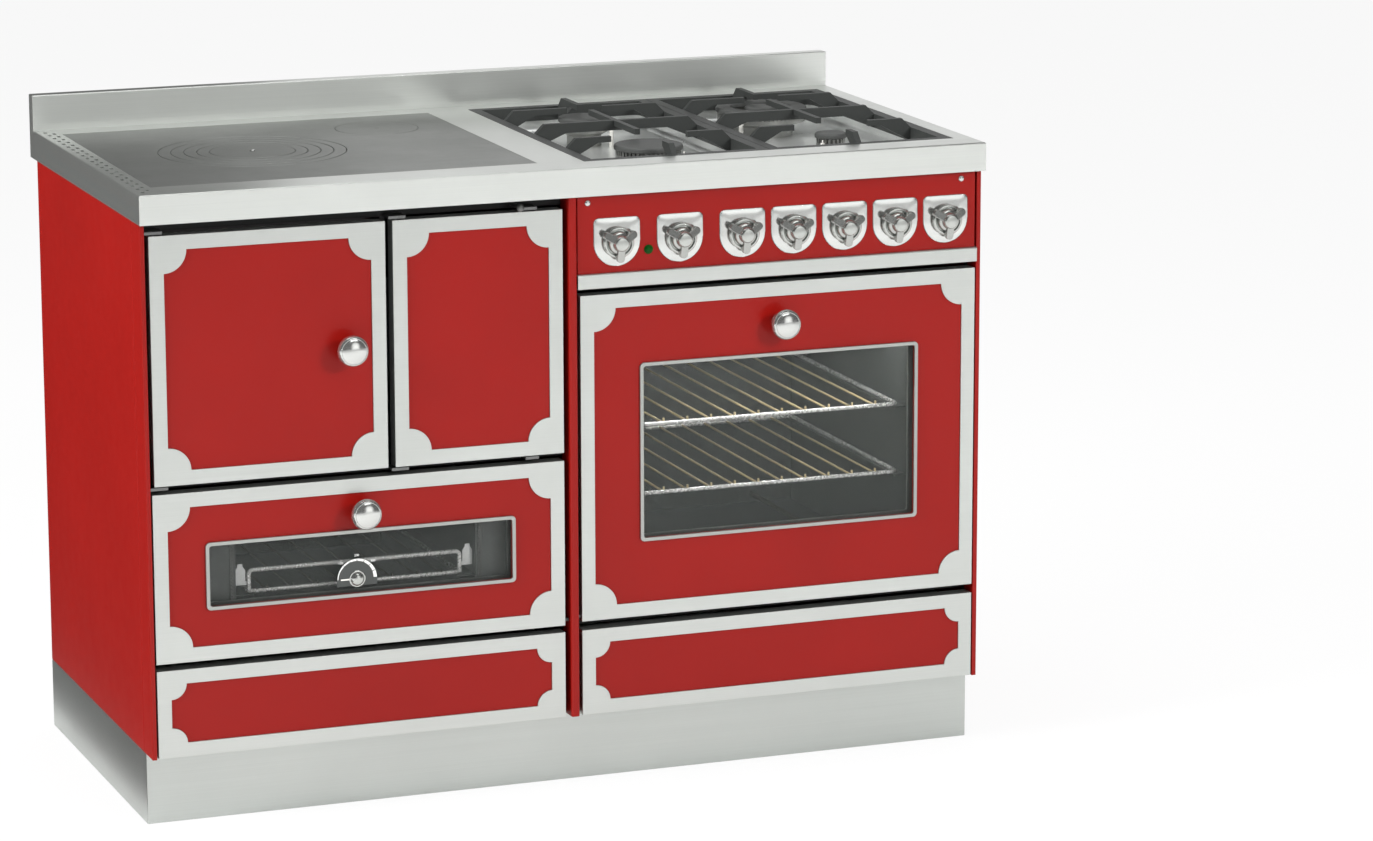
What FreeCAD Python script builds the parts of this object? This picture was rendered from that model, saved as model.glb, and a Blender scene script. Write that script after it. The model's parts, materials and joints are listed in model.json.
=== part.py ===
"""Double range cooker: a wood-fired cooker on the left, a gas hob over an electric oven on the right.

Units are millimetres. X runs left to right, Y runs front to back and Z up from the floor.
The origin is on the floor, under the middle of the worktop.
"""
import FreeCAD, Part
import math
import os

V = FreeCAD.Vector

# ------------------------------------------------------------------ overall sizes
WORKTOP_W = 1200.0         # two 600 mm kitchen modules side by side
WORKTOP_D = 600.0
WORKTOP_Z = 860.0          # cooking surface above the floor
EDGE_H = 39.5              # height of the folded edge of the worktop
SHEET = 2.0                # steel sheet of the worktop, panels and doors
EDGE_R = 2.5               # outer radius of the worktop's fold
SPLASH_H = 50.0
SPLASH_T = 20.5
SPLASH_EDGE_R = 1.5
SIDE_INSET = 2.2           # side panel back from the end of the worktop
DOOR_SETBACK = 11.0        # door fronts back from the front edge of the worktop
BACK_GAP = 29.5            # back panel forward of the back edge of the worktop
PLINTH_H = 98.0
PLINTH_SETBACK = 46.7      # plinth back from the front edge of the worktop
SPIGOT_OUT = 51.0          # flue spigot beyond the back panel

HALF_W = WORKTOP_W / 2
FRONT_EDGE_Y = -WORKTOP_D / 2
BACK_EDGE_Y = WORKTOP_D / 2
BODY_X = HALF_W - SIDE_INSET
DOOR_Y = FRONT_EDGE_Y + DOOR_SETBACK
BACK_Y = BACK_EDGE_Y - BACK_GAP
PLINTH_Y = FRONT_EDGE_Y + PLINTH_SETBACK
SKIRT_Z = WORKTOP_Z - EDGE_H
CEILING_Z = WORKTOP_Z - SHEET
FRAME_T = 3.0              # plate of the carcass
PARTITION_IN = 4.0         # partition in from the left face of the middle post
RUNNER_H = 3.0             # strips that the drawers slide on
SEAT = 0.3                 # gap left where a loose piece rests on its seat
RUN = 0.4                  # gap left round a piece that moves

# ------------------------------------------------------------------ fronts
POST_T = 6.3               # thickness of a corner post
POST_DEPTH = 44.0
POST_GAP = 2.1             # left corner post to the widest door
POST_GAP_RIGHT = 1.8
MID_POST_W = 12.0
MID_POST_X = -2.4          # middle of the post between the two cookers
MID_POST_PROUD = 4.0
MID_GAP_LEFT = 7.5         # middle post to the fronts of the left cooker
MID_GAP_RIGHT = 5.2
BORDER = 19.5              # steel border round every red panel
NOTCH_R = 31.0             # radius of the notched corners, large doors
DRAWER_NOTCH_R = 21.0
DOOR_DEPTH = 22.0          # depth of the folded rim of a door
LINER_T = 4.0
FACE_GAP = 4.0             # back of a door to the face of the carcass
DRAWER_H = 120.0
DRAWER_LIFT = 1.0          # drawer front above the plinth
WOOD_OVEN_GAP = 9.5        # left drawer front to the wood oven door
WOOD_OVEN_H = 230.2
FIRE_GAP = 11.0            # wood oven door to the two doors above it
FIRE_TOP_GAP = 16.7        # those doors to the folded edge of the worktop
FIRE_DOOR_INSET = 3.4
FIRE_DOOR_W = 321.5
UPPER_DOOR_GAP = 10.4
OVEN_GAP = 12.4            # right drawer front to the oven door
OVEN_DOOR_H = 452.1
STRIP_GAP = 9.0            # oven door to the steel strip
STRIP_H = 20.7
STRIP_PROUD = 5.0
STRIP_GAP_LEFT = 0.6       # strip to the middle post
STRIP_PAST = 0.9           # strip beyond the right edge of the oven door
PANEL_CLEAR = 0.5

LEFT_X0 = -BODY_X + POST_T + POST_GAP
MID_X0 = MID_POST_X - MID_POST_W / 2
MID_X1 = MID_POST_X + MID_POST_W / 2
LEFT_X1 = MID_X0 - MID_GAP_LEFT
RIGHT_X0 = MID_X1 + MID_GAP_RIGHT
RIGHT_X1 = BODY_X - POST_T - POST_GAP_RIGHT
DRAWER_Z0 = PLINTH_H + DRAWER_LIFT
DRAWER_Z1 = DRAWER_Z0 + DRAWER_H
WOOD_Z0 = DRAWER_Z1 + WOOD_OVEN_GAP
WOOD_Z1 = WOOD_Z0 + WOOD_OVEN_H
FIRE_Z0 = WOOD_Z1 + FIRE_GAP
FIRE_Z1 = SKIRT_Z - FIRE_TOP_GAP
FIRE_X0 = LEFT_X0 + FIRE_DOOR_INSET
FIRE_X1 = FIRE_X0 + FIRE_DOOR_W
FLUE_X0 = FIRE_X1 + UPPER_DOOR_GAP
OVEN_Z0 = DRAWER_Z1 + OVEN_GAP
OVEN_Z1 = OVEN_Z0 + OVEN_DOOR_H
STRIP_Z0 = OVEN_Z1 + STRIP_GAP
STRIP_Z1 = STRIP_Z0 + STRIP_H
LINER_Y = DOOR_Y + DOOR_DEPTH
FACE_Y = LINER_Y + LINER_T + FACE_GAP
PANEL_Y = DOOR_Y + SHEET
WOOD_XM = (LEFT_X0 + LEFT_X1) / 2
OVEN_XM = (RIGHT_X0 + RIGHT_X1) / 2
FLOOR_Z = PLINTH_H + FRAME_T

# ------------------------------------------------------------------ hinges and handles
PIN_BACK = 8.0             # hinge pin behind the door front
PIN_IN = 7.0               # hinge pin in from the edge of the door
PIN_R = 3.0
PIN_CLEAR = 0.3
PIN_REACH = 9.0            # pin beyond its bracket
BRACKET_T = 4.0
BRACKET_GAP = 1.7          # bracket to the edge of the door
BRACKET_HALF = 12.0
CATCH_HALF = 9.5
CATCH_IN = 44.6            # catch in from the free edge of the flue door
DROP_BACK = 10.0           # axis of a drop-down door behind its front
DROP_REACH = 8.0           # hinge pin inside the edge of a drop-down door
DROP_UP = 6.0              # and above its lower edge
HANDLE_D = 42.0            # round door knobs
HANDLE_L = 34.5
HANDLE_NECK_R = 8.0
FIRE_HANDLE_IN = 53.5      # firebox knob in from the right edge of its door
WOOD_HANDLE_DROP = 44.9    # knob below the upper edge of the wood oven door
OVEN_HANDLE_DROP = 55.5    # knob below the upper edge of the oven door

# ------------------------------------------------------------------ windows
TRIM_W = 5.0
TRIM_PROUD = 1.5
TRIM_R = 6.0
WOOD_WINDOW_W = 433.0
WOOD_WINDOW_UP = 67.9      # above the lower edge of its door
WOOD_WINDOW_DROP = 69.8    # and below its upper edge
OVEN_WINDOW_W = 410.5
OVEN_WINDOW_UP = 104.9
OVEN_WINDOW_DROP = 97.8
GLASS_T = 4.0
GLASS_CLEAR = 0.3
DIAL_R = 28.0
DIAL_T = 1.2
DIAL_HUB_R = 11.5
DIAL_STEM_R = 3.0
DIAL_PIN_R = 1.5
DIAL_PIN_L = 1.6
DIAL_LEFT = 7.0            # dial left of the middle of the door
DIAL_UP = 24.0             # dial centre above the lower edge of the window
POINTER_L = 23.0
POINTER_T = 1.0
POINTER_ROOT = 2.2         # half width of the pointer at its hub
POINTER_TIP = 0.5
DIAL_FOOT = 9.5            # scale plate below the axis
SHAFT_RUN = 0.1            # shaft in its bore

GLASS_Y = PANEL_Y + SHEET + GLASS_CLEAR
DIAL_X = WOOD_XM - DIAL_LEFT
DIAL_AXIS_Z = WOOD_Z0 + WOOD_WINDOW_UP + DIAL_UP

# ------------------------------------------------------------------ hotplate
PLATE_W = 534.0
PLATE_D = 476.0
PLATE_T = 12.0
PLATE_MARGIN_X = 32.0      # from the left end of the worktop
PLATE_MARGIN_Y = 61.0      # from the front edge of the worktop
DISC_R = 58.0
RING_STEP = 17.6
RING_COUNT = 4
RING_LEDGE = 5.0
LEDGE_H = 5.0              # the ledges that carry rings and discs, above the underside
RING_X_OFF = 206.0         # ring centre from the left edge of the plate
RING_Y_OFF = 239.0         # and from its front edge
REAR_DISC_X_OFF = 424.0
REAR_DISC_Y_OFF = 369.0
STUD_R = 2.8               # lifting stud in the middle of a disc
STUD_H = 0.8
VENT_PITCH = 26.5
VENT_L = 10.0
VENT_W = 4.5
VENT_EDGE = 12.0           # outer row from the end of the worktop
VENT_ROW_GAP = 9.4
VENT_COUNT = 21
VENT_MID_Y = -8.3

PLATE_X0 = -HALF_W + PLATE_MARGIN_X
PLATE_X1 = PLATE_X0 + PLATE_W
PLATE_Y0 = FRONT_EDGE_Y + PLATE_MARGIN_Y
PLATE_Y1 = PLATE_Y0 + PLATE_D
PLATE_Z0 = WORKTOP_Z - PLATE_T
RING_X = PLATE_X0 + RING_X_OFF
RING_Y = PLATE_Y0 + RING_Y_OFF
REAR_DISC_X = PLATE_X0 + REAR_DISC_X_OFF
REAR_DISC_Y = PLATE_Y0 + REAR_DISC_Y_OFF
LEDGE_Z = PLATE_Z0 + LEDGE_H

# ------------------------------------------------------------------ firebox and flue
FIRE_WALL = 4.0
RIM_OVERLAP = 6.0          # how far the plate rests on the rim
RIM_OUT = 4.0              # rim beyond the plate
SMOKE_H = 26.0             # height of the smoke space under the plate
SMOKE_FLOOR = 4.0
CHAMBER_X_GAP = 14.0       # chamber outside to the edge of the door
CHAMBER_BACK_IN = 47.0     # chamber ends in front of the back edge of the plate
CHAMBER_LIFT = 6.3         # chamber above the lower edge of its door
MOUTH_IN = 18.0            # mouth of the chamber inside its outer walls
MOUTH_LIFT = 18.3          # mouth above the lower edge of the door
MOUTH_DROP = 13.8          # and below its upper edge
GRATE_LIFT = 116.0         # grate above the floor of the chamber
GRATE_T = 12.0
GRATE_SLOTS = 9
BRICK_T = 24.0
BRICK_DROP = 4.0           # top of the bricks below the top of the mouth
ASH_H = 74.0
ASH_WALL = 1.5
FLUE_BORE_R = 70.0
FLUE_WALL = 2.5
FLUE_IN = 91.0             # flue in from the right edge of the hotplate
FLUE_DROP = 83.0           # flue axis below the smoke space
FLUE_BOX_W = 180.0
FLUE_BOX_D = 140.0
FLUE_BOX_H = 85.0          # floor of the flue box below the flue axis
FLUE_BOX_PAST = 13.0       # flue box beyond the back edge of the hotplate
DAMPER_ROD_SIDE = 47.7     # damper rod to the right of the flue axis
DAMPER_ROD_R = 3.0
DAMPER_ROD_DROP = 7.5      # rod axis below the floor of the smoke space
DAMPER_BALL_R = 5.2
DAMPER_BALL_PROUD = 6.0    # ball centre in front of the doors
DAMPER_SIZE = 116.0        # square plate
DAMPER_LAP = 0.5           # rod let into the underside of the plate
PORT_HALF = 46.0           # half the side of the square port over the plate
DUCT_WALL = 3.0
DAMPER_SIDE = 4.0          # slot in the duct beyond each side of the damper plate
LINING_GAP = 1.0           # grate and bricks to the side walls

RIM_X0 = PLATE_X0 - RIM_OUT
RIM_X1 = PLATE_X1 + RIM_OUT
RIM_Y0 = PLATE_Y0 - RIM_OUT
RIM_Y1 = PLATE_Y1 + RIM_OUT
RIM_W = RIM_OUT + RIM_OVERLAP
SMOKE_Z0 = PLATE_Z0 - SMOKE_H
CHAMBER_X0 = FIRE_X0 + CHAMBER_X_GAP
CHAMBER_X1 = FIRE_X1 - CHAMBER_X_GAP
CHAMBER_Y0 = FACE_Y + FIRE_WALL
CHAMBER_BACK_Y = PLATE_Y1 - CHAMBER_BACK_IN
CHAMBER_Z0 = FIRE_Z0 + CHAMBER_LIFT
MOUTH_Z0 = FIRE_Z0 + MOUTH_LIFT
MOUTH_Z1 = FIRE_Z1 - MOUTH_DROP
GRATE_Z = CHAMBER_Z0 + GRATE_LIFT
BRICK_Z1 = MOUTH_Z1 - BRICK_DROP
SMOKE_UNDER_Z = SMOKE_Z0 - SMOKE_FLOOR
FLUE_X = PLATE_X1 - FLUE_IN
FLUE_Z = SMOKE_UNDER_Z - FLUE_DROP
FLUE_BOX_Y1 = PLATE_Y1 + FLUE_BOX_PAST
FLUE_BOX_Y0 = FLUE_BOX_Y1 - FLUE_BOX_D
FLUE_BOX_Z0 = FLUE_Z - FLUE_BOX_H
SPIGOT_END_Y = BACK_Y + SPIGOT_OUT
DAMPER_ROD_X = FLUE_X + DAMPER_ROD_SIDE
DAMPER_Z = SMOKE_UNDER_Z - DAMPER_ROD_DROP

# ------------------------------------------------------------------ ovens
CAVITY_T = 2.0
CAVITY_BACK_GAP = 99.5     # back of the cavities to the back panel
FLANGE_IN = 5.0            # cavity flange inside the edge of the door
FLANGE_LIFT = 13.0         # and above its lower edge, clear of the turning door
LIP_PROUD = 1.5            # flange in front of the rails
WOOD_CAVITY_W = 336.0
WOOD_CAVITY_UP = 23.5      # above the lower edge of the door
WOOD_CAVITY_DROP = 22.7    # and below its upper edge
OVEN_CAVITY_W = 404.0
OVEN_CAVITY_UP = 31.0
OVEN_CAVITY_DROP = 43.1
RACK_W = 380.0
RACK_D = 390.0
RACK_WIRE_R = 3.0
RACK_BAR_R = 1.6
RACK_PITCH = 35.0
RACK_UP = (163.1, 259.6)   # racks above the lower edge of the oven door
RACK_SETBACK = 4.0         # behind the mouth of the cavity
SHELF_W = 296.0
SHELF_UP = 79.5            # shelf above the lower edge of the wood oven door
GUARD_H = 29.0             # guard rail above the shelf
HOLDER_W = 14.0            # white plate at each end of the guard rail
HOLDER_H = 29.0
HOLDER_T = 2.0
HOLDER_OUT = 11.5          # middle of the plate beyond the end of the rail
HOLDER_LIFT = 9.0          # plate above the shelf
LEDGE_T = 3.0
LEDGE_BACK = 3.0           # ledges behind the mouth of the cavity
ELEMENT_R = 4.0

CAVITY_BACK_Y = BACK_Y - CAVITY_BACK_GAP
WOOD_CAVITY_Z0 = WOOD_Z0 + WOOD_CAVITY_UP
WOOD_CAVITY_Z1 = WOOD_Z1 - WOOD_CAVITY_DROP
OVEN_CAVITY_Z0 = OVEN_Z0 + OVEN_CAVITY_UP
OVEN_CAVITY_Z1 = OVEN_Z1 - OVEN_CAVITY_DROP
RACK_Z = [OVEN_Z0 + up for up in RACK_UP]
SHELF_Z = WOOD_Z0 + SHELF_UP

# ------------------------------------------------------------------ gas hob
HOB_W = 543.5
HOB_D = 497.3
HOB_MARGIN_X = 27.0        # from the right end of the worktop
HOB_MARGIN_Y = 49.7        # from the front edge of the worktop
HOB_CLEAR = 1.0
RAIL_W = 15.0
RAIL_T = 9.0
ARM_W = 8.0
ARM_RISE = 13.0            # arms above the worktop
ARM_TIP_H = 8.0
BAR_H = 14.0               # height of the bar across the middle
ARM_SLOPE = 45.0           # length of the tapered foot
WEB_T = 3.5                # web under the inner edge of the rails
WEB_H = 11.0               # web below the rails
WEB_CORNER_R = 13.5
GRID_LIFT = 0.3
BURNER_OFF_Y = 131.4       # burners from the middle of the hob
REAR_TIP = 27.0            # side arm tips from a rear burner's centre
REAR_END_TIP = 20.0        # arm from the back rail
REAR_MID_TIP = 29.0        # end of the middle bar
FRONT_TIP = 56.0
FRONT_END_TIP = 64.0
FRONT_MID_TIP = 44.0
PAN_T = 1.5
PAN_DEPTH = 42.0           # floor of the well below the worktop
PAN_LEDGE_W = 12.0
PAN_CORNER_R = 14.0
RIDGE_R = 6.0
CAP_T = 7.0
CAP_DROP = 1.0             # top of the caps below the worktop
CAP_GAP = 0.3
CAP_OVER = 2.5             # cap beyond its crown
# cap radius of the burners: front left, rear left, front right; the rear right one has two rings
CAP_FL, CAP_RL, CAP_FR = 48.0, 37.0, 22.5
CAP_WOK_OUT, CAP_WOK_IN, CAP_WOK_CORE = 66.0, 43.0, 24.0
BURNER_NECK = 0.72         # neck to crown radius
BURNER_SEAT = 3.0          # how far a neck stands on the floor of the well, round its hole
NECK_TOP = 0.45            # upper end of the neck, and of its flare, as parts of the height
FLARE_TOP = 0.62
TRENCH_FLOOR = 0.55        # trench between two crowns
PORT_W = 2.2
PORT_H = 6.0
PORT_DEPTH = 6.0
IGNITER_R = 3.2

HOB_X1 = HALF_W - HOB_MARGIN_X
HOB_X0 = HOB_X1 - HOB_W
HOB_Y0 = FRONT_EDGE_Y + HOB_MARGIN_Y
HOB_Y1 = HOB_Y0 + HOB_D
HOB_XM = (HOB_X0 + HOB_X1) / 2
HOB_YM = (HOB_Y0 + HOB_Y1) / 2
GRID_W = (HOB_W - 3 * HOB_CLEAR) / 2
BURNER_X = ((HOB_X0 + HOB_XM) / 2, (HOB_XM + HOB_X1) / 2)
BURNER_Y = (HOB_YM - BURNER_OFF_Y, HOB_YM + BURNER_OFF_Y)
LEDGE_TOP_Z = WORKTOP_Z - RAIL_T - GRID_LIFT
PAN_FLOOR_Z = WORKTOP_Z - PAN_DEPTH
CAP_TOP_Z = WORKTOP_Z - CAP_DROP

# ------------------------------------------------------------------ control panel
KNOB_FIRST = 56.0          # first knob from the left end of the panel
KNOB_WIDE_PITCH = 90.8     # the three oven controls
KNOB_PITCH = 75.2          # the four gas taps
KNOB_Z = 41.8              # knob axis above the steel strip
SHIELD_R_LOW = 33.5        # round lower half of the plate behind a knob
SHIELD_TOP = 33.5          # above the knob axis
SHIELD_T = 3.0
PANEL_END_GAP = 1.9        # left end of the panel to the middle post
PANEL_END_IN = 1.2         # right end of the panel inside the oven door's edge
PANEL_DEPTH = 26.0
SHIELD_R = 7.0
SHAFT_R = 3.0
SHAFT_CLEAR = 1.5
KNOB_SKIRT_R = 21.5
KNOB_SKIRT_H = 5.0
KNOB_BARREL_R = 16.0
KNOB_BARREL_H = 13.0
KNOB_HUB_R = 11.5
KNOB_H = 21.0              # face of the grip from the plate
KNOB_TIP_H = 14.0
KNOB_ARM_LEN = 26.5
KNOB_ARM_W = 10.5
KNOB_ARM_DROP = 0.8        # arms below the face of the hub
KNOB_ARM_ANGLES = (60, 180, 300)   # turned from straight up
KNOB_HUB_RIM = 1.5         # chamfer of the hub, along the axis and inwards
KNOB_HUB_IN = 2.0
KNOB_TIP_R = 4.65          # rounding of the arm tips
LAMP_R = 5.2
LAMP_RIGHT = 101.5         # pilot lamp from the left end of the panel
LAMP_DOWN = 13.5           # and below the knob axis
SCREW_R = 4.2
SCREW_DROP = 10.7          # screws below the folded edge of the worktop
SCREW_IN_LEFT = 14.5
SCREW_IN_RIGHT = 21.0
TAP_BODY = 24.0
TAP_DEPTH = 34.0
SWITCH_GAP = 6.0           # taps and switches behind the panel
SHAFT_IN = 22.0            # shaft inside its tap or switch

PANEL_X0 = MID_X1 + PANEL_END_GAP
PANEL_X1 = RIGHT_X1 - PANEL_END_IN
PANEL_Z0 = STRIP_Z1
PANEL_Z1 = SKIRT_Z - PANEL_CLEAR
KNOB_AXIS_Z = STRIP_Z1 + KNOB_Z
KNOB_XS = [PANEL_X0 + KNOB_FIRST + KNOB_WIDE_PITCH * i for i in range(3)]
KNOB_XS += [KNOB_XS[2] + KNOB_PITCH * i for i in range(1, 5)]
SWITCH_Y = PANEL_Y + SWITCH_GAP
SHAFT_END_Y = SWITCH_Y + SHAFT_IN
SCREW_Z = SKIRT_Z - SCREW_DROP
LAMP_X = PANEL_X0 + LAMP_RIGHT
LAMP_Z = KNOB_AXIS_Z - LAMP_DOWN
STRIP_X0 = MID_X1 + STRIP_GAP_LEFT
STRIP_X1 = RIGHT_X1 + STRIP_PAST

# ------------------------------------------------------------------ supplies
GAS_R = 10.5               # half-inch gas inlet
GAS_OUT = 18.0             # inlet beyond the back panel
GAS_PIPE_R = 7.5
GAS_DROP = 17.0            # supply pipe below the knob axes
GAS_PAST = 20.0            # supply pipe beyond the last tap
GAS_X = KNOB_XS[-1] + GAS_PAST
GAS_Z = KNOB_AXIS_Z - GAS_DROP
PIPE_R = 3.0
PIPE_DROP = 12.0           # burner pipes below the floor of the well, and below each other
PIPE_SIDE = (-75.0, -60.0, -105.0, 60.0)   # where each burner's pipe runs back, from its centre
SUPPLY_IN = 117.8          # terminal box in from the right side
SUPPLY_UP = 62.0           # and above the plinth
GLAND_R = 8.0
GLAND_LAP = 2.0            # hole for the cord inside the gland's outline

SUPPLY_X = BODY_X - SUPPLY_IN
SUPPLY_Z = PLINTH_H + SUPPLY_UP

parts = {}


# ------------------------------------------------------------------ helpers
def box(x0, x1, y0, y1, z0, z1):
    return Part.makeBox(x1 - x0, y1 - y0, z1 - z0, V(x0, y0, z0))


def rod(x, y, z, radius, length, axis):
    return Part.makeCylinder(radius, length, V(x, y, z), V(*axis))


def upright(x, y, z0, z1, radius):
    return rod(x, y, z0, radius, z1 - z0, (0, 0, 1))


def lengthwise(x, z, y0, y1, radius):
    return rod(x, y0, z, radius, y1 - y0, (0, 1, 0))


def join(shapes):
    return shapes[0].multiFuse(shapes[1:]).removeSplitter()


def group(shapes):
    """Separate solids in one named node."""
    return Part.makeCompound(shapes)


def closed_face(edges):
    return Part.Face(Part.Wire(Part.__sortEdges__(edges)))


def outline(x0, x1, z0, z1, radius, y, notched=False):
    """Rectangle in an X-Z plane whose corners are rounded, or notched by quarter circles."""
    edges = []
    corners = ((x0, z0, 1, 1), (x1, z0, -1, 1), (x1, z1, -1, -1), (x0, z1, 1, -1))
    reach = radius * math.sqrt(0.5)
    if not notched:
        reach = radius - reach
    starts, ends = [], []
    for index, (x, z, sx, sz) in enumerate(corners):
        along_z, along_x = V(x, y, z + sz * radius), V(x + sx * radius, y, z)
        mid = V(x + sx * reach, y, z + sz * reach)
        first, last = (along_z, along_x) if index % 2 == 0 else (along_x, along_z)
        edges.append(Part.Arc(first, mid, last).toShape())
        starts.append(first)
        ends.append(last)
    for index in range(4):
        edges.append(Part.LineSegment(ends[index], starts[(index + 1) % 4]).toShape())
    return closed_face(edges)


def slab(x0, x1, z0, z1, radius, y0, y1, notched=False):
    return outline(x0, x1, z0, z1, radius, y0, notched).extrude(V(0, y1 - y0, 0))


def prism(points, thickness):
    """Closed polygon of points, extruded along the thickness vector."""
    return Part.Face(Part.makePolygon(points + [points[0]])).extrude(thickness)


def turned(points, centre, axis):
    """Closed polygon of points, turned all the way round an axis."""
    return Part.Face(Part.makePolygon(points + [points[0]])).revolve(centre, axis, 360)


def lathe(profile, x, y, z):
    """Radius and height pairs turned about the upright axis through x, y."""
    return turned([V(x + r, y, z + h) for r, h in profile], V(x, y, z), V(0, 0, 1))


def lathe_out(profile, x, y, z):
    """Radius and height pairs turned about an axis that points out of the front."""
    return turned([V(x + r, y - h, z) for r, h in profile], V(x, y, z), V(0, 1, 0))


def bent_wire(points, radius):
    """Round wire through points: straight runs with a ball at each bend."""
    pieces = []
    for start, end in zip(points[:-1], points[1:]):
        run = end.sub(start)
        pieces.append(Part.makeCylinder(radius, run.Length, start, run))
    for point in points[1:-1]:
        pieces.append(Part.makeSphere(radius, point))
    return join(pieces)


def tray(x0, x1, y0, y1, z0, z1, wall):
    """Box open at the top."""
    inside = box(x0 + wall, x1 - wall, y0 + wall, y1 - wall, z0 + wall, z1 + 1)
    return box(x0, x1, y0, y1, z0, z1).cut(inside)


def soften(solid, radius, wanted):
    """Fillet the edges for which wanted(edge bounds) is true."""
    return solid.makeFillet(radius, [e for e in solid.Edges if wanted(e.BoundBox)])


# ------------------------------------------------------------------ plinth, carcass and cladding
def make_plinth():
    lip = 15.0
    outer = box(-BODY_X, BODY_X, PLINTH_Y, BACK_Y, 0, PLINTH_H)
    inner = box(-BODY_X + SHEET, BODY_X - SHEET, PLINTH_Y + SHEET, BACK_Y - SHEET, -1, PLINTH_H - SHEET)
    hole = box(-BODY_X + lip, BODY_X - lip, PLINTH_Y + lip, BACK_Y - lip, 0, PLINTH_H + 1)
    parts["plinth"] = outer.cut(inner).cut(hole)


def levelling_foot(x, y):
    pad_r, pad_h, stem_r, nut_r, nut_h = 24.0, 8.0, 5.0, 9.0, 7.0
    nut_z = PLINTH_H - SHEET - 2 * nut_h
    corners = [V(x + nut_r * math.cos(math.pi * k / 3), y + nut_r * math.sin(math.pi * k / 3), nut_z)
               for k in range(6)]
    return join([upright(x, y, 0, pad_h, pad_r), upright(x, y, pad_h - 1, PLINTH_H, stem_r),
                 prism(corners, V(0, 0, nut_h))])


def make_feet():
    inset_x, inset_mid, inset_y = 45.0, 42.0, 40.0
    feet = []
    for x in (-BODY_X + inset_x, -inset_mid, inset_mid, BODY_X - inset_x):
        for y in (PLINTH_Y + inset_y, BACK_Y - inset_y):
            feet.append(levelling_foot(x, y))
    parts["levelling_feet"] = group(feet)


def carcass_plates():
    """Floor, middle partition and the rails that show as dark gaps between the fronts."""
    side, post_side = BODY_X - SHEET, BODY_X - POST_T
    back, face_back, post_back = BACK_Y - SHEET, FACE_Y + FRAME_T, DOOR_Y + POST_DEPTH
    mid = MID_X0 + PARTITION_IN
    lap = 1.5                  # rail back from the edge of each front beside its gap
    left, right = -post_side + FRAME_T, post_side - FRAME_T
    plates = [box(-side, side, post_back, back, PLINTH_H, FLOOR_Z),
              box(-post_side, post_side, FACE_Y, post_back, PLINTH_H, FLOOR_Z),
              box(mid, mid + FRAME_T, FACE_Y, back, FLOOR_Z, CEILING_Z)]
    for x0, x1, z0, z1 in ((-post_side, left, FLOOR_Z, SKIRT_Z - lap),
                           (right, post_side, FLOOR_Z, SKIRT_Z - lap),
                           (left, mid, DRAWER_Z1 + lap, WOOD_Z0 - lap),
                           (left, mid, WOOD_Z1 + lap, FIRE_Z0 - lap),
                           (left, mid, FIRE_Z1 + lap, SKIRT_Z - lap),
                           (FIRE_X1 + lap, FLUE_X0 - lap, FIRE_Z0 - lap, FIRE_Z1 + lap),
                           (mid + FRAME_T, right, DRAWER_Z1 + lap, OVEN_Z0 - lap),
                           (mid + FRAME_T, right, OVEN_Z1 + lap, STRIP_Z0 + SHEET)):
        plates.append(box(x0, x1, FACE_Y, face_back, z0, z1))
    hole = lengthwise(DAMPER_ROD_X, DAMPER_Z, FACE_Y - 1, face_back + 1, DAMPER_ROD_R + SEAT)
    return [plate.cut(hole) for plate in plates]


def drawer_runners():
    width, inset, front_gap, back_gap = 14.0, 14.0, 6.0, 60.0
    y0, y1 = FACE_Y + front_gap, BACK_Y - back_gap
    strips = []
    for x0, x1 in ((LEFT_X0, LEFT_X1), (RIGHT_X0, RIGHT_X1)):
        for x in (x0 + inset, x1 - inset - width):
            strips.append(box(x, x + width, y0, y1, FLOOR_Z, FLOOR_Z + RUNNER_H))
    return strips


def hinge_bracket(x, z0, half, pin_z0=None, pin_z1=None):
    plate = box(x - half, x + half, DOOR_Y + SHEET, FACE_Y, z0, z0 + BRACKET_T)
    if pin_z0 is None:
        return plate
    return join([plate, upright(x, DOOR_Y + PIN_BACK, pin_z0, pin_z1, PIN_R)])


def hinge_brackets():
    """Upright pins for the two upper doors, and plain catch plates on the free side."""
    top = FIRE_Z1 + BRACKET_GAP
    bottom = FIRE_Z0 - BRACKET_GAP - BRACKET_T
    brackets = []
    for x in (FIRE_X0 + PIN_IN, FLUE_X0 + PIN_IN):
        brackets.append(hinge_bracket(x, top, BRACKET_HALF, top - PIN_REACH, top + BRACKET_T / 2))
        brackets.append(hinge_bracket(x, bottom, BRACKET_HALF, bottom + BRACKET_T / 2,
                                      bottom + BRACKET_T + PIN_REACH))
    for z in (top, bottom):
        brackets.append(hinge_bracket(LEFT_X1 - CATCH_IN, z, CATCH_HALF))
    return brackets


def drop_pins():
    """Pins in the posts that the two drop-down doors turn on."""
    pins = []
    y = DOOR_Y + DROP_BACK
    for post_x0, x0, x1, post_x1, z0 in ((-BODY_X + POST_T, LEFT_X0, LEFT_X1, MID_X0, WOOD_Z0),
                                         (MID_X1, RIGHT_X0, RIGHT_X1, BODY_X - POST_T, OVEN_Z0)):
        z = z0 + DROP_UP
        pins.append(rod(post_x0, y, z, PIN_R, x0 + DROP_REACH - post_x0, (1, 0, 0)))
        pins.append(rod(x1 - DROP_REACH, y, z, PIN_R, post_x1 - x1 + DROP_REACH, (1, 0, 0)))
    return pins


def make_carcass():
    parts["carcass"] = group(carcass_plates() + drawer_runners())
    parts["hinge_pins_and_brackets"] = group(hinge_brackets() + drop_pins())


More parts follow.
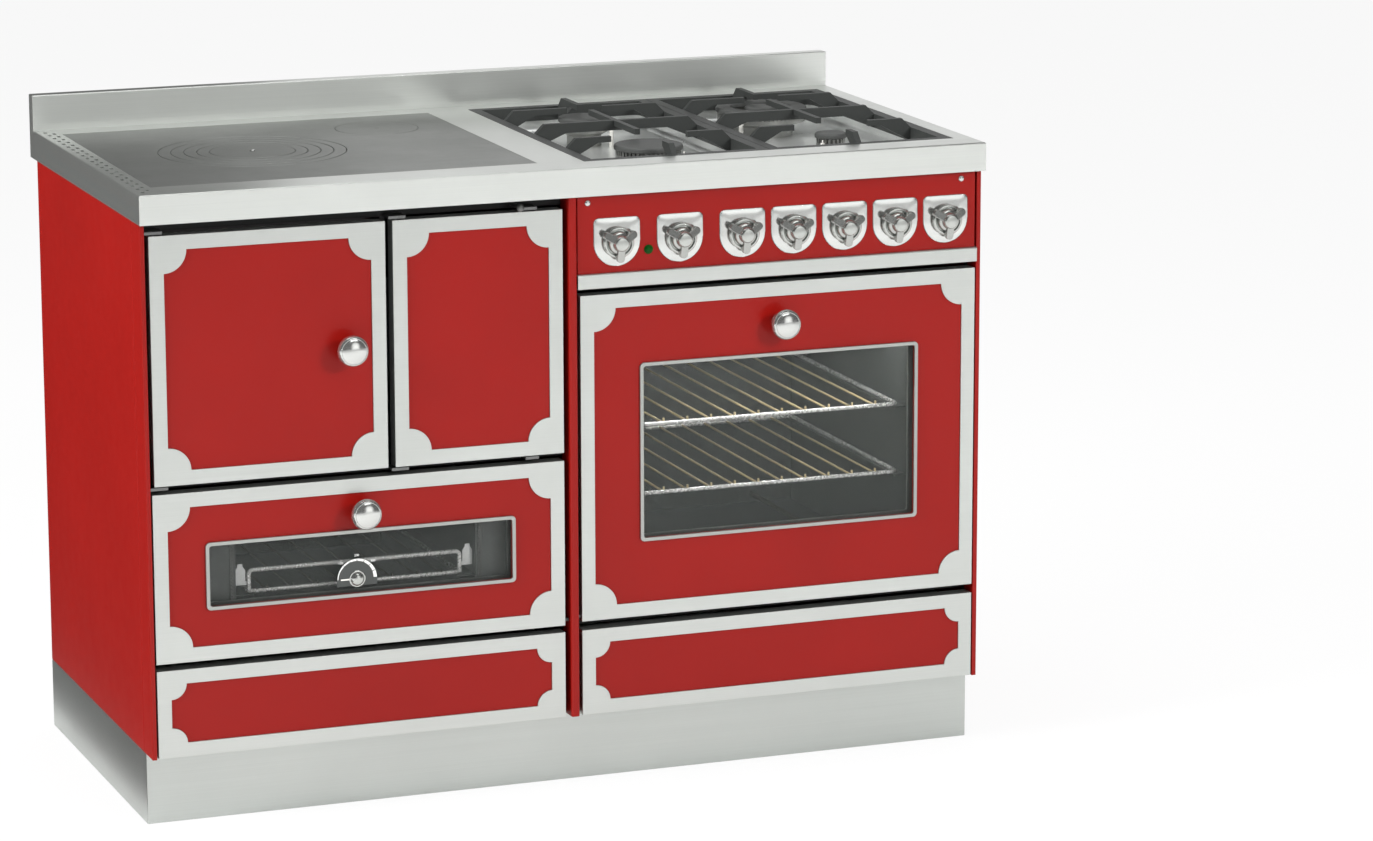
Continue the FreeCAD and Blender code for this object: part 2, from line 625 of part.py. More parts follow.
def make_back_panel():
    y0, y1 = BACK_Y - SHEET, BACK_Y
    sheet = box(-BODY_X + SHEET, BODY_X - SHEET, y0, y1, PLINTH_H, SKIRT_Z)
    sheet = sheet.cut(lengthwise(FLUE_X, FLUE_Z, y0 - 1, y1 + 1, FLUE_BORE_R + FLUE_WALL + PANEL_CLEAR))
    sheet = sheet.cut(lengthwise(GAS_X, GAS_Z, y0 - 1, y1 + 1, GAS_PIPE_R + PANEL_CLEAR))
    sheet = sheet.cut(lengthwise(SUPPLY_X, SUPPLY_Z, y0 - 1, y1 + 1, GLAND_R - GLAND_LAP))
    slot_l, slot_h, pitch, columns, rows, row_gap = 60.0, 5.0, 85.0, 5, 6, 22.0
    in_from_door, up_from_door = 90.0, 70.0
    first_x, first_z = RIGHT_X0 + in_from_door, OVEN_Z0 + up_from_door
    louvres = [box(first_x + c * pitch, first_x + c * pitch + slot_l, y0 - 1, y1 + 1,
                   first_z + r * row_gap, first_z + r * row_gap + slot_h)
               for c in range(columns) for r in range(rows)]
    parts["back_panel"] = sheet.cut(group(louvres))


def make_sides():
    seam = 0.8
    y0 = DOOR_Y + POST_DEPTH + seam
    sides = [box(-BODY_X, -BODY_X + SHEET, y0, BACK_Y, PLINTH_H, SKIRT_Z),
             box(BODY_X - SHEET, BODY_X, y0, BACK_Y, PLINTH_H, SKIRT_Z)]
    posts = [box(-BODY_X, -BODY_X + POST_T, DOOR_Y, DOOR_Y + POST_DEPTH, PLINTH_H, SKIRT_Z - PANEL_CLEAR),
             box(BODY_X - POST_T, BODY_X, DOOR_Y, DOOR_Y + POST_DEPTH, PLINTH_H, SKIRT_Z - PANEL_CLEAR)]
    edge_r = 3.5
    front = DOOR_Y - MID_POST_PROUD
    middle = box(MID_X0, MID_X1, front, FACE_Y, PLINTH_H + 1, SKIRT_Z - PANEL_CLEAR)
    posts.append(soften(middle, edge_r, lambda b: b.YMax < front + 0.01 and b.ZLength > 100))
    parts["side_panels_and_posts"] = group(sides + posts)


# ------------------------------------------------------------------ worktop
def vent_slots():
    """Two staggered rows of slots beside the hotplate."""
    slots = []
    span = VENT_PITCH * (VENT_COUNT - 1)
    for row in range(2):
        x = -HALF_W + VENT_EDGE + row * VENT_ROW_GAP
        for k in range(VENT_COUNT - row):
            y = VENT_MID_Y - span / 2 + VENT_PITCH * (k + row / 2)
            slots.append(box(x - VENT_W / 2, x + VENT_W / 2, y - VENT_L / 2, y + VENT_L / 2,
                             CEILING_Z - 1, WORKTOP_Z + 1))
    return slots


def make_worktop():
    """Folded steel top with an open-backed splashback, a skirt and a lip that stands on the sides."""
    fold = 9.0
    splash_y, splash_z = BACK_EDGE_Y - SPLASH_T, WORKTOP_Z + SPLASH_H
    outer = box(-HALF_W, HALF_W, FRONT_EDGE_Y, BACK_EDGE_Y, SKIRT_Z, WORKTOP_Z)
    outer = soften(outer, EDGE_R, lambda b: b.ZMin > WORKTOP_Z - 0.01 and b.YMin < BACK_EDGE_Y - 1)
    splash = box(-HALF_W, HALF_W, splash_y, BACK_EDGE_Y, WORKTOP_Z - EDGE_R - 1, splash_z)
    splash = soften(splash, SPLASH_EDGE_R, lambda b: b.ZMin > splash_z - 0.01)
    inner_x, inner_y = HALF_W - SHEET, BACK_EDGE_Y - SHEET
    inner = box(-inner_x, inner_x, -inner_y, inner_y, SKIRT_Z + SHEET, CEILING_Z)
    hollow = box(-inner_x, inner_x, splash_y + SHEET, inner_y, SKIRT_Z + SHEET, splash_z - SHEET)
    mouth = box(-HALF_W + fold, HALF_W - fold, FRONT_EDGE_Y + fold, BACK_EDGE_Y - fold,
                SKIRT_Z - 1, SKIRT_Z + SHEET + 1)
    plate_hole = box(PLATE_X0 - RUN, PLATE_X1 + RUN, PLATE_Y0 - RUN, PLATE_Y1 + RUN,
                     CEILING_Z - 1, WORKTOP_Z + 1)
    hob_hole = box(HOB_X0, HOB_X1, HOB_Y0, HOB_Y1, CEILING_Z - 1, WORKTOP_Z + 1)
    top = outer.fuse(splash)
    for void in (inner, hollow, mouth, plate_hole, hob_hole, group(vent_slots())):
        top = top.cut(void)
    parts["worktop"] = top.removeSplitter()


# ------------------------------------------------------------------ hotplate with rings
def stepped_hole(x, y, radius):
    wide = upright(x, y, LEDGE_Z, WORKTOP_Z + 1, radius + RUN)
    narrow = upright(x, y, PLATE_Z0 - 1, LEDGE_Z + 1, radius - RING_LEDGE)
    return wide.fuse(narrow)


def make_hotplate():
    plate = box(PLATE_X0, PLATE_X1, PLATE_Y0, PLATE_Y1, PLATE_Z0, WORKTOP_Z)
    plate = plate.cut(stepped_hole(RING_X, RING_Y, DISC_R + RING_COUNT * RING_STEP))
    parts["hotplate"] = plate.cut(stepped_hole(REAR_DISC_X, REAR_DISC_Y, DISC_R))


def lid_profile(outer, inner):
    """Stepped section of a ring; a disc has no inner radius."""
    step = LEDGE_H + SEAT
    under = outer - RING_LEDGE - RUN
    shape = [(outer, PLATE_T), (outer, step), (under, step), (under, 0)]
    if inner == 0:
        return shape + [(0, 0), (0, PLATE_T)]
    return shape + [(inner - RING_LEDGE, 0), (inner - RING_LEDGE, LEDGE_H), (inner + RUN, LEDGE_H),
                    (inner + RUN, PLATE_T)]


def make_rings():
    for k in range(RING_COUNT):
        inner = DISC_R + k * RING_STEP
        profile = lid_profile(inner + RING_STEP, inner)
        parts["hob_ring_%d" % (k + 1)] = lathe(profile, RING_X, RING_Y, PLATE_Z0)
    for name, x, y in (("hob_disc", RING_X, RING_Y), ("rear_hob_disc", REAR_DISC_X, REAR_DISC_Y)):
        disc = lathe(lid_profile(DISC_R, 0), x, y, PLATE_Z0)
        parts[name] = disc.fuse(upright(x, y, WORKTOP_Z - 1, WORKTOP_Z + STUD_H, STUD_R))


# ------------------------------------------------------------------ firebox
def firebox_voids():
    """The fire space, its mouth, the smoke space, the flue duct and its openings."""
    wall = FIRE_WALL
    x0, x1 = CHAMBER_X0 + wall, CHAMBER_X1 - wall
    rim_x0, rim_y0 = RIM_X0 + RIM_W, RIM_Y0 + RIM_W
    z0 = CHAMBER_Z0 + wall
    port_y = (FLUE_BOX_Y0 + FLUE_BOX_Y1) / 2
    duct_x0, duct_x1 = FLUE_X - FLUE_BOX_W / 2, FLUE_X + FLUE_BOX_W / 2
    slot_half = DAMPER_SIZE / 2 + DAMPER_SIDE
    return [box(rim_x0, RIM_X1 - RIM_W, rim_y0, RIM_Y1 - RIM_W, SMOKE_Z0, PLATE_Z0 + 1),
            box(x0, x1, CHAMBER_Y0 + wall, CHAMBER_BACK_Y - wall, z0, SMOKE_UNDER_Z),
            box(max(x0, rim_x0), x1, rim_y0, CHAMBER_BACK_Y - wall, z0, SMOKE_Z0 + 1),
            box(CHAMBER_X0 + MOUTH_IN, CHAMBER_X1 - MOUTH_IN, FACE_Y - 1, CHAMBER_Y0 + wall + 1,
                MOUTH_Z0, MOUTH_Z1),
            box(duct_x0 + DUCT_WALL, duct_x1 - DUCT_WALL, FLUE_BOX_Y0 + DUCT_WALL, FLUE_BOX_Y1 - DUCT_WALL,
                FLUE_BOX_Z0 + DUCT_WALL, SMOKE_UNDER_Z),
            box(FLUE_X - PORT_HALF, FLUE_X + PORT_HALF, port_y - PORT_HALF, port_y + PORT_HALF,
                SMOKE_UNDER_Z - 1, SMOKE_Z0 + 1),
            box(FLUE_X - slot_half, FLUE_X + slot_half, FLUE_BOX_Y0 - 1, FLUE_BOX_Y0 + DUCT_WALL + 1,
                DAMPER_Z - DAMPER_ROD_R - 1, SMOKE_UNDER_Z),
            lengthwise(FLUE_X, FLUE_Z, FLUE_BOX_Y1 - DUCT_WALL - 1, SPIGOT_END_Y + 1, FLUE_BORE_R)]


def make_firebox():
    rim = box(RIM_X0, RIM_X1, RIM_Y0, RIM_Y1, SMOKE_UNDER_Z, PLATE_Z0)
    chamber = box(CHAMBER_X0, CHAMBER_X1, CHAMBER_Y0, CHAMBER_BACK_Y, CHAMBER_Z0, SMOKE_Z0)
    in_x, in_z = 4.0, 2.0
    flange = box(FIRE_X0 + in_x, FIRE_X1 - in_x, FACE_Y, CHAMBER_Y0, FIRE_Z0 + in_z, FIRE_Z1 - in_z)
    duct = box(FLUE_X - FLUE_BOX_W / 2, FLUE_X + FLUE_BOX_W / 2, FLUE_BOX_Y0, FLUE_BOX_Y1, FLUE_BOX_Z0,
               SMOKE_Z0)
    spigot = lengthwise(FLUE_X, FLUE_Z, FLUE_BOX_Y1 - 1, SPIGOT_END_Y, FLUE_BORE_R + FLUE_WALL)
    body = join([rim, chamber, flange, duct, spigot])
    for void in firebox_voids():
        body = body.cut(void)
    ledge_w, ledge_h = 12.0, 6.0
    x0, x1 = CHAMBER_X0 + FIRE_WALL - 1, CHAMBER_X1 - FIRE_WALL + 1
    y0, y1 = CHAMBER_Y0 + FIRE_WALL, CHAMBER_BACK_Y - FIRE_WALL
    ledges = [box(x0, x0 + ledge_w, y0, y1, GRATE_Z - ledge_h, GRATE_Z),
              box(x1 - ledge_w, x1, y0, y1, GRATE_Z - ledge_h, GRATE_Z)]
    parts["firebox_body"] = group([join([body] + ledges), fire_grate()])


def fire_grate():
    """Cast grate that lies on the ledges of the firebox."""
    gap_y = 2.0
    x0, x1 = CHAMBER_X0 + FIRE_WALL + LINING_GAP, CHAMBER_X1 - FIRE_WALL - LINING_GAP
    y0, y1 = CHAMBER_Y0 + FIRE_WALL + gap_y, CHAMBER_BACK_Y - FIRE_WALL - gap_y
    grate = box(x0, x1, y0, y1, GRATE_Z, GRATE_Z + GRATE_T)
    inset, slot_w, end, bridge = 44.0, 10.0, 40.0, 12.0
    mid = (y0 + y1) / 2
    pitch = (x1 - x0 - 2 * inset) / (GRATE_SLOTS - 1)
    slots = [box(x0 + inset + k * pitch - slot_w / 2, x0 + inset + k * pitch + slot_w / 2, a, b,
                 GRATE_Z - 1, GRATE_Z + GRATE_T + 1)
             for k in range(GRATE_SLOTS) for a, b in ((y0 + end, mid - bridge), (mid + bridge, y1 - end))]
    return grate.cut(group(slots))


def make_firebricks():
    joint, gap_y = 0.5, 3.0
    x0, x1 = CHAMBER_X0 + FIRE_WALL + LINING_GAP, CHAMBER_X1 - FIRE_WALL - LINING_GAP
    y0, y1 = CHAMBER_Y0 + FIRE_WALL + gap_y, CHAMBER_BACK_Y - FIRE_WALL - gap_y
    z0 = GRATE_Z + GRATE_T
    parts["firebricks"] = group([
        box(x0, x0 + BRICK_T, y0, y1, z0, BRICK_Z1),
        box(x1 - BRICK_T, x1, y0, y1, z0, BRICK_Z1),
        box(x0 + BRICK_T + joint, x1 - BRICK_T - joint, y1 - BRICK_T, y1, z0, BRICK_Z1)])


def make_ash_pan():
    setback, side, back_gap, grip_w, grip_d, grip_t, grip_drop = 12.0, 3.0, 40.0, 90.0, 9.0, 4.0, 14.0
    x0, x1 = CHAMBER_X0 + MOUTH_IN + side, CHAMBER_X1 - MOUTH_IN - side
    y0 = FACE_Y + setback
    z0 = CHAMBER_Z0 + FIRE_WALL
    pan = tray(x0, x1, y0, CHAMBER_BACK_Y - back_gap, z0, z0 + ASH_H, ASH_WALL)
    xm, grip_z = (x0 + x1) / 2, z0 + ASH_H - grip_drop
    grip = box(xm - grip_w / 2, xm + grip_w / 2, y0 - grip_d, y0 + ASH_WALL / 2, grip_z, grip_z + grip_t)
    parts["ash_pan"] = join([pan, grip])


def make_damper():
    """Sliding plate under the smoke space, its rod and the ball that shows above the flue door."""
    under = 30.0               # how far the rod runs under its plate
    ball_y = DOOR_Y - DAMPER_BALL_PROUD
    plate_y0 = (FLUE_BOX_Y0 + FLUE_BOX_Y1 - DAMPER_SIZE) / 2
    plate_z0 = DAMPER_Z + DAMPER_ROD_R - DAMPER_LAP
    x0 = FLUE_X - DAMPER_SIZE / 2
    ball = Part.makeSphere(DAMPER_BALL_R, V(DAMPER_ROD_X, ball_y, DAMPER_Z))
    bar = lengthwise(DAMPER_ROD_X, DAMPER_Z, ball_y, plate_y0 + under, DAMPER_ROD_R)
    plate = box(x0, x0 + DAMPER_SIZE, plate_y0, plate_y0 + DAMPER_SIZE, plate_z0, SMOKE_UNDER_Z - SEAT)
    parts["flue_damper"] = join([ball, bar, plate])


# ------------------------------------------------------------------ ovens
def cavity(x0, x1, z0, z1, flange, ledges):
    """Enamelled box open at the front, with a flange round its mouth and side ledges."""
    shell = box(x0 - CAVITY_T, x1 + CAVITY_T, FACE_Y, CAVITY_BACK_Y, z0 - CAVITY_T, z1 + CAVITY_T)
    lip = box(flange[0], flange[1], FACE_Y - LIP_PROUD, FACE_Y, flange[2], flange[3])
    hollow = box(x0, x1, FACE_Y - 1 - LIP_PROUD, CAVITY_BACK_Y - CAVITY_T, z0, z1)
    steps = []
    for z, reach in ledges:
        for a, b in ((x0 - 1, x0 + reach), (x1 - reach, x1 + 1)):
            steps.append(box(a, b, FACE_Y + LEDGE_BACK, CAVITY_BACK_Y - 1, z - LEDGE_T, z))
    return join([shell.fuse(lip).cut(hollow)] + steps)


def make_cavities():
    x0, x1 = WOOD_XM - WOOD_CAVITY_W / 2, WOOD_XM + WOOD_CAVITY_W / 2
    parts["wood_oven_cavity"] = cavity(
        x0, x1, WOOD_CAVITY_Z0, WOOD_CAVITY_Z1,
        (LEFT_X0 + FLANGE_IN, LEFT_X1 - FLANGE_IN, WOOD_Z0 + FLANGE_LIFT, WOOD_Z1 - FLANGE_IN),
        [(SHELF_Z - RACK_WIRE_R, (WOOD_CAVITY_W - SHELF_W) / 2 + 2 * RACK_WIRE_R)])
    x0, x1 = OVEN_XM - OVEN_CAVITY_W / 2, OVEN_XM + OVEN_CAVITY_W / 2
    reach = (OVEN_CAVITY_W - RACK_W) / 2 + 2 * RACK_WIRE_R
    parts["oven_cavity"] = cavity(
        x0, x1, OVEN_CAVITY_Z0, OVEN_CAVITY_Z1,
        (RIGHT_X0 + FLANGE_IN, RIGHT_X1 - FLANGE_IN, OVEN_Z0 + FLANGE_LIFT, OVEN_Z1 - FLANGE_IN),
        [(z - RACK_WIRE_R, reach) for z in RACK_Z])


def wire_rack(xm, width, y0, depth, z):
    """Frame of thick wire with bars front to back, each ending in a short upturned stub."""
    half, stub = width / 2, 7.0
    y1 = y0 + depth
    corners = [V(xm - half, y0, z), V(xm + half, y0, z), V(xm + half, y1, z), V(xm - half, y1, z)]
    pieces = [bent_wire(corners + corners[:2], RACK_WIRE_R)]
    count = int(width // RACK_PITCH)
    first = xm - RACK_PITCH * (count - 1) / 2
    for k in range(count):
        x = first + k * RACK_PITCH
        pieces.append(lengthwise(x, z, y0, y1, RACK_BAR_R))
        pieces.append(upright(x, y0, z, z + stub, RACK_BAR_R))
    return join(pieces)


def make_racks():
    """Two racks in the right oven; a rack with a raised guard rail in the left one."""
    y0 = FACE_Y + RACK_SETBACK + RACK_WIRE_R
    racks = [wire_rack(OVEN_XM, RACK_W, y0, RACK_D, z) for z in RACK_Z]
    half, low, high = SHELF_W / 2, SHELF_Z, SHELF_Z + GUARD_H
    guard = bent_wire([V(WOOD_XM - half, y0, low), V(WOOD_XM - half, y0, high),
                       V(WOOD_XM + half, y0, high), V(WOOD_XM + half, y0, low)], RACK_WIRE_R)
    holders = [rail_holder(side, y0) for side in (-1, 1)]
    racks.append(join([wire_rack(WOOD_XM, SHELF_W, y0, RACK_D, low), guard] + holders))
    parts["oven_racks"] = group(racks)


def rail_holder(side, y):
    """Bottle-shaped plate at one end of the guard rail, with a tab that grips the rail's upright."""
    x, z0 = WOOD_XM + side * (SHELF_W / 2 + HOLDER_OUT), SHELF_Z + HOLDER_LIFT
    half, neck, tab_h = HOLDER_W / 2, HOLDER_W / 4, 5.0
    shoulder, neck_z, z1 = z0 + 0.7 * HOLDER_H, z0 + 0.88 * HOLDER_H, z0 + HOLDER_H
    plate = prism([V(x - half, y, z0), V(x + half, y, z0), V(x + half, y, shoulder), V(x + neck, y, neck_z),
                   V(x + neck, y, z1), V(x - neck, y, z1), V(x - neck, y, neck_z), V(x - half, y, shoulder)],
                  V(0, HOLDER_T, 0))
    ends = sorted((x, x - side * HOLDER_OUT))
    return plate.fuse(box(ends[0], ends[1], y, y + HOLDER_T, z0, z0 + tab_h))


def make_elements():
    """Base element over the floor of the right oven and grill element under its roof."""
    half, inner, from_front, from_back, over_floor, under_roof = 140.0, 55.0, 70.0, 90.0, 8.0, 14.0
    y_back, y_front, y_turn = CAVITY_BACK_Y - CAVITY_T, FACE_Y + from_front, CAVITY_BACK_Y - from_back
    low, high = OVEN_CAVITY_Z0 + ELEMENT_R + over_floor, OVEN_CAVITY_Z1 - ELEMENT_R - under_roof
    start, finish = [(-half, y_back), (-half, y_front)], [(half, y_front), (half, y_back)]
    grill = [(-inner, y_front), (-inner, y_turn), (inner, y_turn), (inner, y_front)]
    elements = []
    for z, middle in ((low, []), (high, grill)):
        path = [V(OVEN_XM + x, y, z) for x, y in start + middle + finish]
        elements.append(bent_wire(path, ELEMENT_R))
    parts["heating_elements"] = group(elements)


def make_seals():
    """Woven seals on the cavity flanges and the firebox flange, just clear of the closed doors."""
    width, away = 6.0, 3.0
    mouths = ((CHAMBER_X0 + MOUTH_IN, CHAMBER_X1 - MOUTH_IN, MOUTH_Z0, MOUTH_Z1, FACE_Y),
              (WOOD_XM - WOOD_CAVITY_W / 2, WOOD_XM + WOOD_CAVITY_W / 2, WOOD_CAVITY_Z0, WOOD_CAVITY_Z1,
               FACE_Y - LIP_PROUD),
              (OVEN_XM - OVEN_CAVITY_W / 2, OVEN_XM + OVEN_CAVITY_W / 2, OVEN_CAVITY_Z0, OVEN_CAVITY_Z1,
               FACE_Y - LIP_PROUD))
    seals = []
    for x0, x1, z0, z1, y in mouths:
        front = LINER_Y + LINER_T + SEAT
        outer = box(x0 - away - width, x1 + away + width, front, y, z0 - away - width, z1 + away + width)
        seals.append(outer.cut(box(x0 - away, x1 + away, front - 1, y + 1, z0 - away, z1 + away)))
    parts["door_seals"] = group(seals)


# ------------------------------------------------------------------ door and drawer fronts
def front_frame(x0, x1, z0, z1, radius):
    """Steel border with notched corners, folded back into a shallow rim."""
    back = LINER_Y
    skin = box(x0, x1, DOOR_Y, back, z0, z1)
    skin = skin.cut(box(x0 + SHEET, x1 - SHEET, DOOR_Y + SHEET, back + 1, z0 + SHEET, z1 - SHEET))
    field = slab(x0 + BORDER, x1 - BORDER, z0 + BORDER, z1 - BORDER, radius, DOOR_Y - 1, DOOR_Y + SHEET + 1,
                 True)
    return skin.cut(field)


def front_panel(x0, x1, z0, z1):
    """Enamelled sheet behind the border."""
    edge = SHEET + PANEL_CLEAR
    return box(x0 + edge, x1 - edge, PANEL_Y, PANEL_Y + SHEET, z0 + edge, z1 - edge)


def hinge_holes(x, z0, z1):
    reach = 3 * SHEET
    y = DOOR_Y + PIN_BACK
    return group([upright(x, y, z - reach, z + reach, PIN_R + PIN_CLEAR) for z in (z0, z1)])


def drop_holes(x0, x1, z0):
    reach = 3 * SHEET
    y, z = DOOR_Y + DROP_BACK, z0 + DROP_UP
    return group([rod(x - reach, y, z, PIN_R + PIN_CLEAR, 2 * reach, (1, 0, 0)) for x in (x0, x1)])


def door_liner(x0, x1, z0, z1):
    """Inner plate that closes the back of a door."""
    edge = 1.0
    return box(x0 + edge, x1 - edge, LINER_Y, LINER_Y + LINER_T, z0 + edge, z1 - edge)


def door_knob(x, z):
    """Turned mushroom knob: a neck that flares into a shallow domed face."""
    r, length, neck = HANDLE_D / 2, HANDLE_L, HANDLE_NECK_R
    profile = [(0, 0), (neck + 4, 0), (neck + 4, 3), (neck, 5), (neck - 1, 12), (neck + 2, 18), (r - 3, 22),
               (r, 26.5), (r - 0.8, 29), (r - 3, 30.6), (r - 4.2, 30.2), (r - 5.4, 31.4),
               (r - 12, length - 0.7), (0, length)]
    return lathe_out(profile, x, PANEL_Y, z)


def window_trim(x0, x1, z0, z1):
    outer = slab(x0, x1, z0, z1, TRIM_R, DOOR_Y - TRIM_PROUD, PANEL_Y)
    return outer.cut(window_light(x0, x1, z0, z1, DOOR_Y - TRIM_PROUD - 1, PANEL_Y + 1))


def window_light(x0, x1, z0, z1, y0, y1):
    """The clear opening inside the trim."""
    return slab(x0 + TRIM_W, x1 - TRIM_W, z0 + TRIM_W, z1 - TRIM_W, TRIM_R - TRIM_W / 2, y0, y1)


def glass_pair(x0, x1, z0, z1):
    """Outer pane behind the enamelled panel, inner pane in front of the liner."""
    grow = 12.0
    return [box(x0 - grow, x1 + grow, y, y + GLASS_T, z0 - grow, z1 + grow)
            for y in (GLASS_Y, LINER_Y - GLASS_T)]


def drop_door(name, x0, x1, z0, z1, pane):
    """Drop-down door with a window: frame with trim and liner, and panel."""
    light = window_light(*pane, PANEL_Y - 1, LINER_Y + LINER_T + 1)
    frame = front_frame(x0, x1, z0, z1, NOTCH_R).cut(drop_holes(x0, x1, z0))
    liner = door_liner(x0, x1, z0, z1).cut(light)
    parts[name + "_frame"] = group([frame, window_trim(*pane), liner])
    parts[name + "_panel"] = front_panel(x0, x1, z0, z1).cut(light)


def make_oven_doors():
    pane = (OVEN_XM - OVEN_WINDOW_W / 2, OVEN_XM + OVEN_WINDOW_W / 2,
            OVEN_Z0 + OVEN_WINDOW_UP, OVEN_Z1 - OVEN_WINDOW_DROP)
    drop_door("oven_door", RIGHT_X0, RIGHT_X1, OVEN_Z0, OVEN_Z1, pane)
    parts["oven_door_glass"] = group(glass_pair(*pane))
    parts["oven_door_knob"] = door_knob(OVEN_XM, OVEN_Z1 - OVEN_HANDLE_DROP)
    pane = (WOOD_XM - WOOD_WINDOW_W / 2, WOOD_XM + WOOD_WINDOW_W / 2,
            WOOD_Z0 + WOOD_WINDOW_UP, WOOD_Z1 - WOOD_WINDOW_DROP)
    drop_door("wood_oven_door", LEFT_X0, LEFT_X1, WOOD_Z0, WOOD_Z1, pane)
    parts["wood_oven_door_knob"] = door_knob(WOOD_XM, WOOD_Z1 - WOOD_HANDLE_DROP)
    stem_hole = lengthwise(DIAL_X, DIAL_AXIS_Z, PANEL_Y, LINER_Y + 1, DIAL_STEM_R + SEAT)
    parts["wood_oven_door_glass"] = group([glass.cut(stem_hole) for glass in glass_pair(*pane)])


def make_thermometer():
    """Half-round scale plate on the outer pane, with a stem through both panes and a turning pointer."""
    y1 = GLASS_Y
    y0 = y1 - DIAL_T
    centre = V(DIAL_X, y0, DIAL_AXIS_Z)
    left, right = V(DIAL_X - DIAL_R, y0, DIAL_AXIS_Z), V(DIAL_X + DIAL_R, y0, DIAL_AXIS_Z)
    top = V(DIAL_X, y0, DIAL_AXIS_Z + DIAL_R)
    low_right, low_left = V(right.x, y0, right.z - DIAL_FOOT), V(left.x, y0, left.z - DIAL_FOOT)
    edges = [Part.Arc(left, top, right).toShape(), Part.LineSegment(right, low_right).toShape(),
             Part.LineSegment(low_right, low_left).toShape(), Part.LineSegment(low_left, left).toShape()]
    plate = closed_face(edges).extrude(V(0, DIAL_T, 0))
    stem = lengthwise(DIAL_X, DIAL_AXIS_Z, y0, LINER_Y + LINER_T - 1, DIAL_STEM_R)
    pin = lengthwise(DIAL_X, DIAL_AXIS_Z, y0 - DIAL_PIN_L, y0 + 1, DIAL_PIN_R)
    parts["thermometer_dial"] = join([plate, stem, pin])
    hub_y1 = centre.y - SEAT
    hub = lengthwise(DIAL_X, DIAL_AXIS_Z, hub_y1 - POINTER_T, hub_y1, DIAL_HUB_R)
    needle = prism([V(DIAL_X, hub_y1, DIAL_AXIS_Z - POINTER_ROOT),
                    V(DIAL_X, hub_y1, DIAL_AXIS_Z + POINTER_ROOT),
                    V(DIAL_X - POINTER_L, hub_y1, DIAL_AXIS_Z + POINTER_TIP),
                    V(DIAL_X - POINTER_L, hub_y1, DIAL_AXIS_Z - POINTER_TIP)], V(0, -POINTER_T, 0))
    bore = lengthwise(DIAL_X, DIAL_AXIS_Z, hub_y1 - POINTER_T - 1, hub_y1 + 1, DIAL_PIN_R + SHAFT_RUN)
    parts["thermometer_pointer"] = hub.fuse(needle).cut(bore).removeSplitter()


def make_upper_doors():
    x0, x1, z0, z1 = FIRE_X0, FIRE_X1, FIRE_Z0, FIRE_Z1
    frame = front_frame(x0, x1, z0, z1, NOTCH_R).cut(hinge_holes(x0 + PIN_IN, z0, z1))
    parts["firebox_door_frame"] = group([frame, door_liner(x0, x1, z0, z1)])
    parts["firebox_door_panel"] = front_panel(x0, x1, z0, z1)
    parts["firebox_door_knob"] = door_knob(x1 - FIRE_HANDLE_IN, (z0 + z1) / 2)
    x0, x1 = FLUE_X0, LEFT_X1
    parts["flue_door_frame"] = front_frame(x0, x1, z0, z1, NOTCH_R).cut(hinge_holes(x0 + PIN_IN, z0, z1))
    parts["flue_door_panel"] = front_panel(x0, x1, z0, z1)


def make_drawers():
    side_gap, top_gap, back_gap, wall, edge = 7.0, 22.0, 70.0, 1.5, 1.0
    for name, x0, x1 in (("left_drawer", LEFT_X0, LEFT_X1), ("right_drawer", RIGHT_X0, RIGHT_X1)):
        closer = box(x0 + edge, x1 - edge, LINER_Y, LINER_Y + wall, DRAWER_Z0 + edge, DRAWER_Z1 - edge)
        body = tray(x0 + side_gap, x1 - side_gap, LINER_Y, BACK_Y - back_gap,
                    FLOOR_Z + RUNNER_H + SEAT, DRAWER_Z1 - top_gap, wall)
        frame = front_frame(x0, x1, DRAWER_Z0, DRAWER_Z1, DRAWER_NOTCH_R)
        parts[name + "_body"] = group([frame, join([closer, body])])
        parts[name + "_panel"] = front_panel(x0, x1, DRAWER_Z0, DRAWER_Z1)


